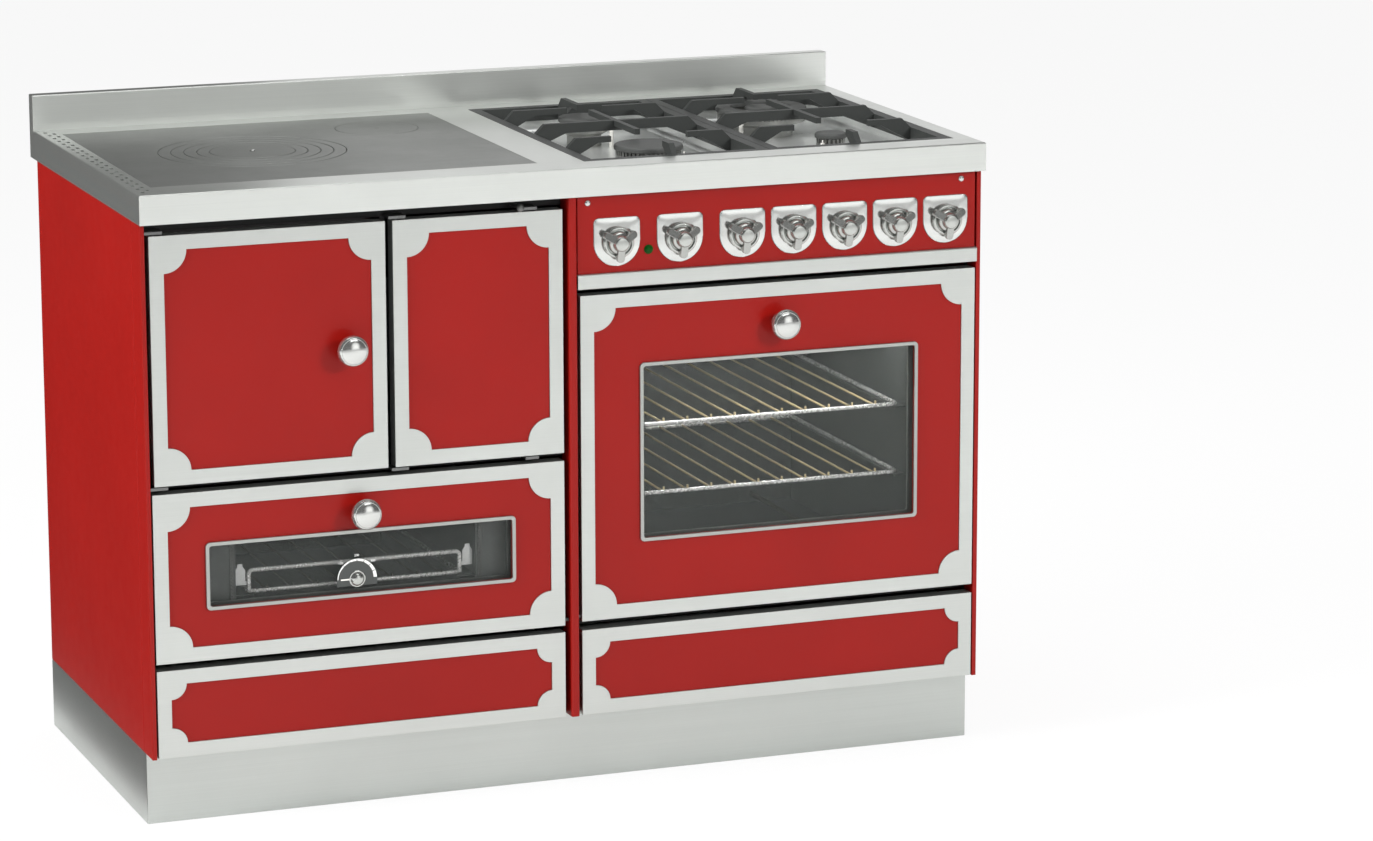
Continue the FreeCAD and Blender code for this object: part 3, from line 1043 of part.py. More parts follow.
# ------------------------------------------------------------------ gas hob
def make_hob_pan():
    """Pressed well with a ledge for the grids and a low ridge under the seam between them."""
    corner, t, under = PAN_CORNER_R, PAN_T, 10.0
    x0, x1, y0, y1 = HOB_X0, HOB_X1, HOB_Y0, HOB_Y1
    ledge = PAN_LEDGE_W
    flange = box(x0 - under, x1 + under, y0 - under, y1 + under, CEILING_Z - t, CEILING_Z)
    upper = box(x0 - t, x1 + t, y0 - t, y1 + t, LEDGE_TOP_Z - t, CEILING_Z)
    well = box(x0 + ledge - t, x1 - ledge + t, y0 + ledge - t, y1 - ledge + t, PAN_FLOOR_Z - t, LEDGE_TOP_Z)
    well = soften(well, corner + t, lambda b: b.ZMin < PAN_FLOOR_Z and b.ZMax < LEDGE_TOP_Z + 0.01
                  and (b.ZLength > 10 or b.ZMax < PAN_FLOOR_Z))
    step = box(x0, x1, y0, y1, LEDGE_TOP_Z, CEILING_Z + 1)
    inside = box(x0 + ledge, x1 - ledge, y0 + ledge, y1 - ledge, PAN_FLOOR_Z, LEDGE_TOP_Z + 1)
    inside = soften(inside, corner, lambda b: b.ZMin < PAN_FLOOR_Z + 0.01 and b.ZMax < LEDGE_TOP_Z + 1.01
                    and (b.ZLength > 10 or b.ZMax < PAN_FLOOR_Z + 0.01))
    pan = join([flange, upper, well]).cut(step).cut(inside)
    ridge = lengthwise(HOB_XM, PAN_FLOOR_Z, y0 + ledge + 1, y1 - ledge - 1, RIDGE_R)
    ridge = ridge.cut(box(x0, x1, y0, y1, PAN_FLOOR_Z - 2 * RIDGE_R, PAN_FLOOR_Z - t / 2))
    ends = box(x0, x1, y0 + ledge + corner, y1 - ledge - corner, 0, WORKTOP_Z)
    pan = join([pan, ridge.common(ends)])
    for x, y, body_r, _ in burner_list():
        bore_r = body_r * BURNER_NECK - BURNER_SEAT
        pan = pan.cut(upright(x, y, PAN_FLOOR_Z - t - 1, PAN_FLOOR_Z + 1, bore_r))
    parts["hob_pan"] = pan


def burner_list():
    """Centre, crown radius and inner crown radius of each burner."""
    return ((BURNER_X[0], BURNER_Y[0], CAP_FL - CAP_OVER, 0),
            (BURNER_X[0], BURNER_Y[1], CAP_RL - CAP_OVER, 0),
            (BURNER_X[1], BURNER_Y[0], CAP_FR - CAP_OVER, 0),
            (BURNER_X[1], BURNER_Y[1], CAP_WOK_OUT - CAP_OVER, CAP_WOK_IN + CAP_OVER))


def port_slots(x, y, radius, z0, z1):
    """Radial flame ports cut into the top of a crown."""
    count = int(2 * math.pi * radius / (2.8 * PORT_W))
    slots = []
    for k in range(count):
        slot = box(x + radius - PORT_DEPTH, x + radius + 1, y - PORT_W / 2, y + PORT_W / 2, z0, z1)
        slots.append(slot.rotate(V(x, y, 0), V(0, 0, 1), 360.0 * k / count))
    return group(slots)


def burner_body(x, y, radius, inner):
    """Neck standing on the pan and a flared crown with flame ports."""
    top = CAP_TOP_Z - CAP_T - CAP_GAP
    neck = radius * BURNER_NECK
    height = top - PAN_FLOOR_Z
    profile = [(0, 0), (neck, 0), (neck, height * NECK_TOP), (radius, height * FLARE_TOP), (radius, height),
               (0, height)]
    body = lathe(profile, x, y, PAN_FLOOR_Z)
    body = body.cut(port_slots(x, y, radius, top - PORT_H, top + 1))
    if inner:
        core = CAP_WOK_CORE - CAP_OVER
        trench = upright(x, y, PAN_FLOOR_Z + height * TRENCH_FLOOR, top + 1, inner)
        body = body.cut(trench.cut(upright(x, y, PAN_FLOOR_Z, top + 2, core)))
        body = body.cut(port_slots(x, y, core, top - PORT_H, top + 1))
    return body


def make_burners():
    parts["burner_bodies"] = group([burner_body(*burner) for burner in burner_list()])
    caps = []
    for radius, (x, y, _, inner) in zip((CAP_FL, CAP_RL, CAP_FR, CAP_WOK_OUT), burner_list()):
        if inner:
            caps.append(burner_cap(x, y, radius, CAP_WOK_IN))
            radius = CAP_WOK_CORE
        caps.append(burner_cap(x, y, radius))
    parts["burner_caps"] = group(caps)


def burner_cap(x, y, radius, hole=0):
    """Flat cap with a chamfered rim; a cap with a hole is the ring of a double crown."""
    rim = 2.0
    profile = [(radius, 0), (radius, CAP_T - rim), (radius - rim, CAP_T)]
    if hole:
        profile += [(hole + rim, CAP_T), (hole, CAP_T - rim), (hole, 0)]
    else:
        profile += [(0, CAP_T), (0, 0)]
    return lathe(profile, x, y, CAP_TOP_Z - CAP_T)


def make_igniters():
    """Ceramic spark pin beside each burner."""
    pins = []
    away, top, tip_r, tip_l = 6.0, 30.0, 1.0, 4.0
    for (x, y, radius, _), (dx, dy) in zip(burner_list(), ((1, -1), (1, -1), (-1, -1), (-1, -1))):
        reach = (radius + CAP_OVER + away) * math.sqrt(0.5)
        px, py = x + dx * reach, y + dy * reach
        pins.append(join([upright(px, py, PAN_FLOOR_Z, PAN_FLOOR_Z + top, IGNITER_R),
                          upright(px, py, PAN_FLOOR_Z + top - 1, PAN_FLOOR_Z + top + tip_l, tip_r)]))
    parts["igniters"] = group(pins)


def rail_web(xm, rail_x, rail_y):
    """Deep web that hangs into the well from the inner edge of the rails."""
    z0, z1 = WORKTOP_Z - RAIL_T - WEB_H, WORKTOP_Z - RAIL_T
    out_x, out_y = rail_x + WEB_T, rail_y + WEB_T
    upright_edges = lambda b: b.ZLength > WEB_H
    outer = box(xm - out_x, xm + out_x, HOB_YM - out_y, HOB_YM + out_y, z0, z1 + 1)
    inner = box(xm - rail_x, xm + rail_x, HOB_YM - rail_y, HOB_YM + rail_y, z0 - 1, z1 + 2)
    return soften(outer, WEB_CORNER_R, upright_edges).cut(soften(inner, WEB_CORNER_R - WEB_T, upright_edges))


def support_arm(length, centre_x, centre_y, start, angle, tip_h=ARM_TIP_H):
    """Raised arm of a grid: starts at a rail, rises at 45 degrees and tapers towards its tip."""
    base, top = WORKTOP_Z - RAIL_T - WEB_H, WORKTOP_Z + ARM_RISE
    tip_z = top - tip_h
    points = [(-1, base), (-1, WORKTOP_Z), (0, WORKTOP_Z), (ARM_RISE, top), (length, top), (length, tip_z),
              (min(ARM_SLOPE, length - 1), tip_z)]
    arm = prism([V(start + u, -ARM_W / 2, z) for u, z in points], V(0, ARM_W, 0))
    arm.rotate(V(0, 0, 0), V(0, 0, 1), angle)
    arm.translate(V(centre_x, centre_y, 0))
    return arm


def grid(xm):
    """One cast grid: a flush frame with a deep web, a raised cross-bar and short arms towards two burners."""
    half_x, half_y = GRID_W / 2, HOB_D / 2 - HOB_CLEAR
    z0 = WORKTOP_Z - RAIL_T
    rail_x, rail_y = half_x - RAIL_W, half_y - RAIL_W
    frame = box(xm - half_x, xm + half_x, HOB_YM - half_y, HOB_YM + half_y, z0, WORKTOP_Z)
    frame = frame.cut(box(xm - rail_x, xm + rail_x, HOB_YM - rail_y, HOB_YM + rail_y,
                          z0 - 1, WORKTOP_Z + 1))
    pieces = [frame, rail_web(xm, rail_x, rail_y)]
    for sign, y in ((-1, BURNER_Y[0]), (1, BURNER_Y[1])):
        side_tip, end_tip, mid_tip = (FRONT_TIP, FRONT_END_TIP, FRONT_MID_TIP) if sign < 0 else (
            REAR_TIP, REAR_END_TIP, REAR_MID_TIP)
        for angle in (0, 180):
            pieces.append(support_arm(rail_x - side_tip, xm, y, -rail_x, angle))
        end_length = rail_y - BURNER_OFF_Y - end_tip
        pieces.append(support_arm(end_length, xm, HOB_YM, -rail_y, -90 * sign))
        bar_end = BURNER_OFF_Y - mid_tip
        pieces.append(box(xm - ARM_W / 2, xm + ARM_W / 2, min(HOB_YM, HOB_YM + sign * bar_end),
                          max(HOB_YM, HOB_YM + sign * bar_end), WORKTOP_Z + ARM_RISE - ARM_TIP_H,
                          WORKTOP_Z + ARM_RISE))
    for angle in (0, 180):
        pieces.append(support_arm(rail_x + 1, xm, HOB_YM, -rail_x, angle, BAR_H))
    return join(pieces)


def make_grids():
    parts["left_grid"] = grid(HOB_X0 + HOB_CLEAR + GRID_W / 2)
    parts["right_grid"] = grid(HOB_X1 - HOB_CLEAR - GRID_W / 2)


# ------------------------------------------------------------------ control panel
def shield(x):
    """Polished plate behind a knob: square above, half round below."""
    r, top, corner, z = SHIELD_R_LOW, SHIELD_TOP, SHIELD_R, KNOB_AXIS_Z
    y = DOOR_Y - SHIELD_T
    bend = corner * (1 - math.sqrt(0.5))
    edges = [Part.Arc(V(x - r, y, z), V(x, y, z - r), V(x + r, y, z)).toShape(),
             Part.LineSegment(V(x + r, y, z), V(x + r, y, z + top - corner)).toShape(),
             Part.Arc(V(x + r, y, z + top - corner), V(x + r - bend, y, z + top - bend),
                      V(x + r - corner, y, z + top)).toShape(),
             Part.LineSegment(V(x + r - corner, y, z + top), V(x - r + corner, y, z + top)).toShape(),
             Part.Arc(V(x - r + corner, y, z + top), V(x - r + bend, y, z + top - bend),
                      V(x - r, y, z + top - corner)).toShape(),
             Part.LineSegment(V(x - r, y, z + top - corner), V(x - r, y, z)).toShape()]
    return closed_face(edges).extrude(V(0, SHIELD_T, 0))


def shaft_hole(x):
    return lengthwise(x, KNOB_AXIS_Z, DOOR_Y - SHIELD_T - 1, DOOR_Y + SHEET + 1, SHAFT_R + SHAFT_CLEAR)


def make_control_panel():
    x0, x1, z0, z1 = PANEL_X0, PANEL_X1, PANEL_Z0, PANEL_Z1
    sheet = box(x0, x1, DOOR_Y, DOOR_Y + PANEL_DEPTH, z0, z1)
    sheet = sheet.cut(box(x0 + SHEET, x1 - SHEET, DOOR_Y + SHEET, DOOR_Y + PANEL_DEPTH + 1, z0 + SHEET,
                          z1 - SHEET))
    holes = [shaft_hole(x) for x in KNOB_XS]
    holes.append(lengthwise(LAMP_X, LAMP_Z, DOOR_Y - 1, DOOR_Y + SHEET + 1, LAMP_R))
    parts["control_panel"] = sheet.cut(group(holes))
    plates = [shield(x).cut(shaft_hole(x)) for x in KNOB_XS]
    screws = [domed_screw(x) for x in (x0 + SCREW_IN_LEFT, x1 - SCREW_IN_RIGHT)]
    parts["control_panel_trim"] = group(plates + screws + [trim_strip()])
    parts["pilot_lamp"] = pilot_lamp()


def domed_screw(x):
    profile = [(0, 0), (SCREW_R, 0), (SCREW_R - 0.4, 1.4), (SCREW_R - 1.8, 2.2), (0, 2.4)]
    return lathe_out(profile, x, DOOR_Y, SCREW_Z)


def pilot_lamp():
    """Domed lens with a rim, pushed into its hole from the front."""
    barrel_r, rim_r, depth = LAMP_R - 0.2, LAMP_R + 1.3, 6.0
    profile = [(0, -depth), (barrel_r, -depth), (barrel_r, 0), (rim_r, 0), (rim_r, 1.2), (rim_r - 2.0, 2.4),
               (2.0, 3.4), (0, 3.5)]
    return lathe_out(profile, LAMP_X, DOOR_Y, LAMP_Z)


def trim_strip():
    """Steel channel between the control panel and the oven door."""
    x0, x1 = STRIP_X0, STRIP_X1
    front, fold_r = DOOR_Y - STRIP_PROUD, 2.5
    strip = box(x0, x1, front, FACE_Y, STRIP_Z0, STRIP_Z1)
    strip = soften(strip, fold_r, lambda b: b.YMax < front + 0.01 and b.XLength > 100)
    return strip.cut(box(x0 - 1, x1 + 1, front + SHEET, FACE_Y + 1, STRIP_Z0 + SHEET, STRIP_Z1 - SHEET))


def make_knobs():
    names = ("oven_selector_knob", "oven_thermostat_knob", "oven_timer_knob",
             "gas_knob_1", "gas_knob_2", "gas_knob_3", "gas_knob_4")
    for name, x in zip(names, KNOB_XS):
        parts[name] = control_knob(x)


def control_knob(x):
    """Round skirt with a three-armed grip that slopes back to its tips, and the shaft it turns."""
    y, z = DOOR_Y - SHIELD_T - SEAT, KNOB_AXIS_Z
    edge, lap = 1.2, 1.0
    skirt = lathe_out([(0, 0), (KNOB_SKIRT_R, 0), (KNOB_SKIRT_R, KNOB_SKIRT_H - edge),
                       (KNOB_SKIRT_R - edge, KNOB_SKIRT_H), (0, KNOB_SKIRT_H)], x, y, z)
    barrel = lathe_out([(0, KNOB_SKIRT_H - lap), (KNOB_BARREL_R, KNOB_SKIRT_H - lap),
                        (KNOB_BARREL_R, KNOB_BARREL_H), (KNOB_HUB_R, KNOB_H - KNOB_HUB_RIM),
                        (KNOB_HUB_R - KNOB_HUB_IN, KNOB_H), (0, KNOB_H)], x, y, z)
    shaft = lengthwise(x, z, y - KNOB_SKIRT_H + lap, SHAFT_END_Y, SHAFT_R)
    return join([skirt, barrel, shaft] + [grip_arm(x, y, z, angle) for angle in KNOB_ARM_ANGLES])


def grip_arm(x, y, z, angle):
    """Arm of a grip, made pointing up and then turned to its place."""
    side, tip_z = x - KNOB_ARM_W / 2, z + KNOB_ARM_LEN
    root_y, top_y = y - KNOB_SKIRT_H - 1, y - KNOB_H + KNOB_ARM_DROP
    arm = prism([V(side, root_y, z), V(side, top_y, z), V(side, top_y, z + KNOB_HUB_R - KNOB_HUB_IN),
                 V(side, y - KNOB_TIP_H, tip_z), V(side, root_y, tip_z)], V(KNOB_ARM_W, 0, 0))
    arm = soften(arm, KNOB_TIP_R, lambda b: b.ZMin > tip_z - 0.01 and b.YLength > 1 and b.XLength < 0.01)
    arm.rotate(V(x, y, z), V(0, 1, 0), angle)
    return arm


def make_taps():
    """Gas rail with four taps and pipes to the burners, and the inlet at the back."""
    half, body_y1 = TAP_BODY / 2, SWITCH_Y + TAP_DEPTH
    rail_y = body_y1 - GAS_PIPE_R
    pieces = []
    for x in KNOB_XS[3:]:
        pieces.append(box(x - half, x + half, SWITCH_Y, body_y1, KNOB_AXIS_Z - half, KNOB_AXIS_Z + half))
    pieces.append(bent_wire([V(KNOB_XS[3] - GAS_PAST, rail_y, GAS_Z), V(GAS_X, rail_y, GAS_Z),
                             V(GAS_X, BACK_Y + GAS_OUT, GAS_Z)], GAS_PIPE_R))
    pieces.append(lengthwise(GAS_X, GAS_Z, BACK_Y, BACK_Y + GAS_OUT, GAS_R))
    supply = join(pieces)
    for x in KNOB_XS[3:]:
        supply = supply.cut(shaft_bore(x))
    parts["gas_supply"] = group([supply] + burner_pipes(body_y1))


def shaft_bore(x):
    end_gap = 2.0
    return lengthwise(x, KNOB_AXIS_Z, SWITCH_Y - 1, SHAFT_END_Y + end_gap, SHAFT_R + SHAFT_RUN)


def burner_pipes(y0):
    """Thin pipe from each tap to the jet under its burner, each run clear of the others."""
    order = (0, 1, 3, 2)
    down, up_step, out, out_step = 6.0, 4.0, 14.0, 9.0
    pipes = []
    for slot, x in zip(order, KNOB_XS[3:]):
        bx, by, _, _ = burner_list()[slot]
        z0, z1 = KNOB_AXIS_Z - down + up_step * slot, PAN_FLOOR_Z - PIPE_DROP * (slot + 1)
        turn_y = y0 + out + out_step * slot
        side_x = bx + PIPE_SIDE[slot]
        path = [V(x, y0, z0), V(x, turn_y, z0), V(x, turn_y, z1), V(side_x, turn_y, z1), V(side_x, by, z1),
                V(bx, by, z1), V(bx, by, PAN_FLOOR_Z)]
        pipes.append(bent_wire(path, PIPE_R))
    return pipes


def make_switches():
    """Oven switches behind their knobs and the supply terminal box on the back."""
    half, depth = 20.0, 46.0
    boxes = []
    for x in KNOB_XS[:3]:
        body = box(x - half, x + half, SWITCH_Y, SWITCH_Y + depth, KNOB_AXIS_Z - half, KNOB_AXIS_Z + half)
        boxes.append(body.cut(shaft_bore(x)))
    half_w, half_h, deep, gland_l = 45.0, 32.0, 20.0, 16.0
    shell = box(SUPPLY_X - half_w, SUPPLY_X + half_w, BACK_Y, BACK_Y + deep, SUPPLY_Z - half_h,
                SUPPLY_Z + half_h)
    shell = soften(shell, 4.0, lambda b: b.YMin > BACK_Y + deep - 0.01)
    z = SUPPLY_Z - half_h
    gland = upright(SUPPLY_X, BACK_Y + deep / 2, z - gland_l, z + 1, GLAND_R)
    boxes.append(shell.fuse(gland))
    parts["electric_controls"] = group(boxes)


def main():
    make_plinth()
    make_feet()
    make_carcass()
    make_back_panel()
    make_sides()
    make_worktop()
    make_hotplate()
    make_rings()
    make_firebox()
    make_firebricks()
    make_ash_pan()
    make_damper()
    make_cavities()
    make_racks()
    make_elements()
    make_seals()
    make_upper_doors()
    make_oven_doors()
    make_thermometer()
    make_drawers()
    make_hob_pan()
    make_burners()
    make_igniters()
    make_grids()
    make_control_panel()
    make_knobs()
    make_taps()
    make_switches()
    os.makedirs("parts", exist_ok=True)
    for name, shape in parts.items():
        shape.exportStep("parts/%s.step" % name)
    print(len(parts), "nodes written")


main()
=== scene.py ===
# %% [markdown]
# # A double range cooker
#
# The cooker stands 0.91 m high and 1.2 m wide. Its left half burns wood: a firebox door, a flue door, a low
# oven and a ground iron hotplate. Its right half has a gas hob over a windowed electric oven. The packed
# model fixes every size, so this lesson only gives the pieces their finish: rounded edges, turned and bent
# metal, enamel, glass and cast iron.
#
# The first cell loads that model and defines a helper that measures a node's box. Everything is in metres,
# with the front towards -Y.
# Drawings of small pieces are easier to read in millimetres, so they are written that way and multiplied by
# MM where a mesh is made.

# %% Load the frame
import json
from math import cos, pi, radians, sin, tan

import bmesh
import bpy
from mathutils import Matrix, Vector


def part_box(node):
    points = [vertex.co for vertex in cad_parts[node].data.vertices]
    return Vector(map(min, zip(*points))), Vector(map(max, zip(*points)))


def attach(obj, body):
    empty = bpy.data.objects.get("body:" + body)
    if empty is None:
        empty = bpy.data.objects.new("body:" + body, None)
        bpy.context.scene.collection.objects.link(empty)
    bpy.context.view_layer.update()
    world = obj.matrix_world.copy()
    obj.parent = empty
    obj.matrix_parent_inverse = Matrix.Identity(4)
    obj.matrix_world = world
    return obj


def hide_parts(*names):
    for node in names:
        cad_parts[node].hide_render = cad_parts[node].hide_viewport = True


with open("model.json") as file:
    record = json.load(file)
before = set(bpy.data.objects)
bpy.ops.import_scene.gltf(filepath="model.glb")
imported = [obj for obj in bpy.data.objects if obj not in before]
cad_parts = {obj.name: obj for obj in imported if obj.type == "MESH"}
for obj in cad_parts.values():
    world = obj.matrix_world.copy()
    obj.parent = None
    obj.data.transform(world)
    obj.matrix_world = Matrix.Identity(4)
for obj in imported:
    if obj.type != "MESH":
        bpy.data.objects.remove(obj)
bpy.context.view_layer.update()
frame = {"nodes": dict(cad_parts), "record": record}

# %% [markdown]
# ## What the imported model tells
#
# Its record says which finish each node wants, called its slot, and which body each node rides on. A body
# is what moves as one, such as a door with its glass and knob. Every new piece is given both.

MM = 0.001
record = frame["record"]
slot_of = {part["node"]: part["material_slot"] for part in record["subparts"]}
body_of = {node: body for body, nodes in record["behaviour"]["bodies"].items() for node in nodes}

# %% [markdown]
# ## Shader maths
#
# A finish is a little circuit of nodes. Writing it as sums is easier to read than wiring it by hand, so one
# small class wraps a node's output and turns +, -, * and / into Math nodes. A second class holds the
# material that is being made and adds every other kind of node with one method.

# %% A socket that can be added and multiplied
class Signal:
    """One output of a node, which Python arithmetic extends with Math nodes."""

    def __init__(self, finish, socket):
        self.finish = finish
        self.socket = socket

    def maths(self, operation, first, second):
        return self.finish.maths(operation, first, second)

    def __add__(self, other):
        return self.maths("ADD", self, other)

    def __radd__(self, other):
        return self.maths("ADD", other, self)

    def __sub__(self, other):
        return self.maths("SUBTRACT", self, other)

    def __rsub__(self, other):
        return self.maths("SUBTRACT", other, self)

    def __mul__(self, other):
        return self.maths("MULTIPLY", self, other)

    def __rmul__(self, other):
        return self.maths("MULTIPLY", other, self)

    def __truediv__(self, other):
        return self.maths("DIVIDE", self, other)

    def __pow__(self, other):
        return self.maths("POWER", self, other)

    def over(self, level):
        return self.maths("GREATER_THAN", self, level)

    def under(self, level):
        return self.maths("LESS_THAN", self, level)


# %% A material that is being made
class Finish:
    """A material with one main shader. Constants go straight onto its sockets."""

    def __init__(self, name, colour, **constants):
        self.material = bpy.data.materials.new(name)
        self.material.use_nodes = True
        self.tree = self.material.node_tree
        self.shader = self.tree.nodes["Principled BSDF"]
        self.colour = (*colour, 1)
        self.shader.inputs["Base Color"].default_value = self.colour
        for key, value in constants.items():
            self.shader.inputs[key.replace("_", " ")].default_value = value
        self.place = self.add("ShaderNodeTexCoord", {}, {}, "Object")

    def add(self, kind, settings, values, out=0):
        """Add a node: its settings first, then its sockets, then name the output that is wanted."""
        node = self.tree.nodes.new(kind)
        for key, value in settings.items():
            setattr(node, key, value)
        for key, value in values.items():
            if isinstance(value, Signal):
                self.tree.links.new(value.socket, node.inputs[key])
            else:
                node.inputs[key].default_value = value
        return Signal(self, node.outputs[out])

    def maths(self, operation, first, second=0.0):
        return self.add("ShaderNodeMath", {"operation": operation}, {0: first, 1: second})

    def maths_max(self, first, second):
        return self.maths("MAXIMUM", first, second)

    def feed(self, socket, signal):
        self.tree.links.new(signal.socket, self.shader.inputs[socket])
        return self

    def stretched(self, x, y, z, turn=(0, 0, 0)):
        """Object coordinates scaled, so that a pattern is drawn out along the small factor."""
        values = {"Vector": self.place, "Scale": (x, y, z), "Rotation": turn}
        return self.add("ShaderNodeMapping", {}, values)

    def noise(self, scale, detail=3.0, roughness=0.5, where=None):
        values = {"Vector": where or self.place, "Scale": scale, "Detail": detail, "Roughness": roughness}
        return self.add("ShaderNodeTexNoise", {}, values)

    def cells(self, scale, out="Distance", where=None):
        return self.add("ShaderNodeTexVoronoi", {}, {"Vector": where or self.place, "Scale": scale}, out)

    def mix(self, factor, first, second):
        """Mix two colours. Sockets 6 and 7 and output 2 are the ones that a Mix node has for colours."""
        values = {"Factor": factor, 6: first, 7: second}
        return self.add("ShaderNodeMix", {"data_type": "RGBA", "clamp_factor": True}, values, 2)

    def tint(self, factor, shade):
        """Base colour that moves from the finish's own colour towards a shade of it."""
        other = tuple(part * shade for part in self.colour[:3]) + (1,)
        return self.feed("Base Color", self.mix(factor, self.colour, other))

    def bump(self, height, strength, depth):
        values = {"Height": height, "Strength": strength, "Distance": depth}
        return self.feed("Normal", self.add("ShaderNodeBump", {}, values))


print("shader helpers ready")

# %% [markdown]
# ## Red enamel
#
# The panels and sides are sheet steel with fired red enamel. Enamel flows a little as it melts, so its
# gloss is never quite flat: a fine, shallow ripple called orange peel breaks up the reflections, and the
# colour is a touch deeper where the coat is thicker. A slow noise gives the depth of colour, a fine one the
# ripple and a middle one the gloss. The dark enamel inside both ovens has pale specks: Voronoi cells give a
# small dot round each point, and a noise leaves most of them out.

# %% Make the enamels
RED = (0.250, 0.0050, 0.003)
SPECK_WHITE = (0.55, 0.57, 0.60, 1)


def fired_enamel(name, colour):
    coat = Finish(name, colour, Specular_IOR_Level=0.2, Coat_Weight=0.04, Coat_Roughness=0.1)
    cloud = coat.noise(5.0, 4.0)
    coat.tint(cloud * 1.6 - 0.45, 0.86)
    coat.feed("Roughness", 0.3 + 0.1 * coat.noise(38.0, 5.0))
    return coat.bump(coat.noise(420.0, 2.0), 0.05, 0.0004)


def speckled_enamel():
    """Dark oven enamel with the scattered pale specks of ground coat frit."""
    coat = Finish("cavity enamel", (0.050, 0.056, 0.052), Coat_Weight=0.2, Coat_Roughness=0.15)
    fleck = coat.cells(430.0).under(0.16) * coat.noise(60.0).over(0.5)
    coat.feed("Base Color", coat.mix(fleck, coat.colour, SPECK_WHITE))
    coat.feed("Roughness", 0.25 + 0.2 * coat.noise(25.0, 5.0))
    return coat.bump(coat.noise(300.0, 2.0), 0.08, 0.0004)


FINISHES = {"red_enamel": fired_enamel("red enamel", RED), "cavity_enamel": speckled_enamel()}
print("enamels:", list(FINISHES))

# %% [markdown]
# ## Steel
#
# Stainless sheet is brushed along its length: fine scratches that are long in one direction and very narrow
# in the others. Stretching a noise does that. The same recipe with other colours, depths and directions
# gives the satin door borders, the grey trims, the worktop, the plinth, the hob well, the knobs and the
# wire. Zinc plate, oxidised rod, cast aluminium and brass have no scratches but a faint mottle of crystals.
# Each metal is written a little darker or lighter than its neighbour, as it looks on the cooker. Two of them
# are painted light: the hob well's near white is partly a painted sheen, and the grips' darker steel is
# painted shade.

# %% Make the steels
def brushed(name, colour, roughness=0.32, along=(3, 260, 900), depth=0.05, metal=0.9):
    steel = Finish(name, colour, Metallic=metal)
    grain = steel.noise(1.0, 4.0, 0.6, steel.stretched(*along))
    haze = steel.noise(7.0, 4.0)
    steel.tint(grain * 0.8 + haze * 0.5 - 0.35, 0.86)
    steel.feed("Roughness", roughness - 0.07 + 0.12 * grain + 0.06 * haze)
    return steel.bump(grain, depth, 0.0005)


def mottled(name, colour, roughness, scale, shade):
    """Plated or oxidised metal: small crystals that each lie a little darker or lighter."""
    metal = Finish(name, colour, Metallic=1.0)
    crystal = metal.cells(scale, "Color")
    patch = metal.noise(18.0, 5.0)
    metal.tint(crystal * 0.5 + patch * 0.7 - 0.2, shade)
    metal.feed("Roughness", roughness - 0.06 + 0.08 * crystal + 0.1 * patch)
    return metal.bump(patch, 0.05, 0.0006)


FINISHES["door_steel"] = brushed("door steel", (0.57, 0.59, 0.565))
FINISHES["trim_steel"] = brushed("trim steel", (0.40, 0.41, 0.39), 0.3)
FINISHES["worktop_steel"] = brushed("worktop steel", (0.69, 0.71, 0.68), 0.3)
FINISHES["plinth_steel"] = brushed("plinth steel", (0.54, 0.565, 0.54), 0.36)
# The hob well is steel written near white and partly diffuse: partly a painted sheen for the bright studio it
# mirrors.
FINISHES["hob_steel"] = brushed("hob steel with painted sheen", (0.88, 0.90, 0.88), 0.28, (4, 120, 300), 0.02, 0.7)
FINISHES["polished_steel"] = brushed("polished steel", (0.62, 0.63, 0.61), 0.15, (30, 30, 240), 0.02)
FINISHES["knob_satin_chrome"] = brushed("satin chrome", (0.48, 0.495, 0.47), 0.2, (240, 60, 240), 0.02)
# The grips are the knobs' own satin chrome, written darker as painted shade.
FINISHES["shaded_grip_metal"] = brushed("shaded grip metal", (0.42, 0.43, 0.41), 0.22, (200, 60, 200), 0.03)
FINISHES["chrome_wire"] = brushed("chrome wire", (0.90, 0.90, 0.87), 0.25, (300, 300, 300), 0.02, 0.6)
FINISHES["zinc_plated_steel"] = mottled("zinc plated steel", (0.22, 0.225, 0.22), 0.45, 95.0, 0.85)
FINISHES["element_sheath"] = mottled("element sheath", (0.16, 0.14, 0.12), 0.5, 300.0, 0.6)
FINISHES["burner_aluminium"] = mottled("burner aluminium", (0.60, 0.60, 0.58), 0.34, 600.0, 0.85)
FINISHES["brass"] = mottled("brass", (0.70, 0.48, 0.18), 0.28, 260.0, 0.75)
print("finishes so far:", len(FINISHES))

# %% [markdown]
# ## Iron, stone and the small finishes
#
# The hotplate is ground flat and darkens with heat, so it keeps fine grinding marks, cloudy patches and
# tiny pores. The grids are cast and enamelled satin black. Firebrick is pressed mineral flakes: the cells of
# a Voronoi pattern, each with its own shade. The seal is woven glass yarn, for which two crossed waves stand.
# Plastic, glaze, lacquer, the lamp's lens and the windows have an almost even colour, so one recipe with a
# faint skin makes them all. A window is mostly see-through: its alpha is low, and its gloss stays.

# %% Make the rest
YARN_SCALE = 130.0
PORE_BLACK, SOOT = (0.03, 0.03, 0.03, 1), (0.07, 0.06, 0.05, 1)


def ground_iron():
    iron = Finish("ground iron", (0.40, 0.41, 0.395), Metallic=0.95)
    marks = iron.noise(1.0, 5.0, 0.7, iron.stretched(3, 220, 500))
    patch = iron.noise(4.5, 6.0, 0.65)
    pore = iron.cells(330.0).under(0.13) * iron.noise(45.0).over(0.55)
    cloudy = iron.mix(patch * 2.2 - 0.7, iron.colour, (0.29, 0.30, 0.285, 1))
    iron.feed("Base Color", iron.mix(pore * 0.7, cloudy, PORE_BLACK))
    iron.feed("Roughness", 0.3 + 0.16 * marks + 0.12 * patch)
    return iron.bump(marks * 0.6 - pore, 0.12, 0.0003)


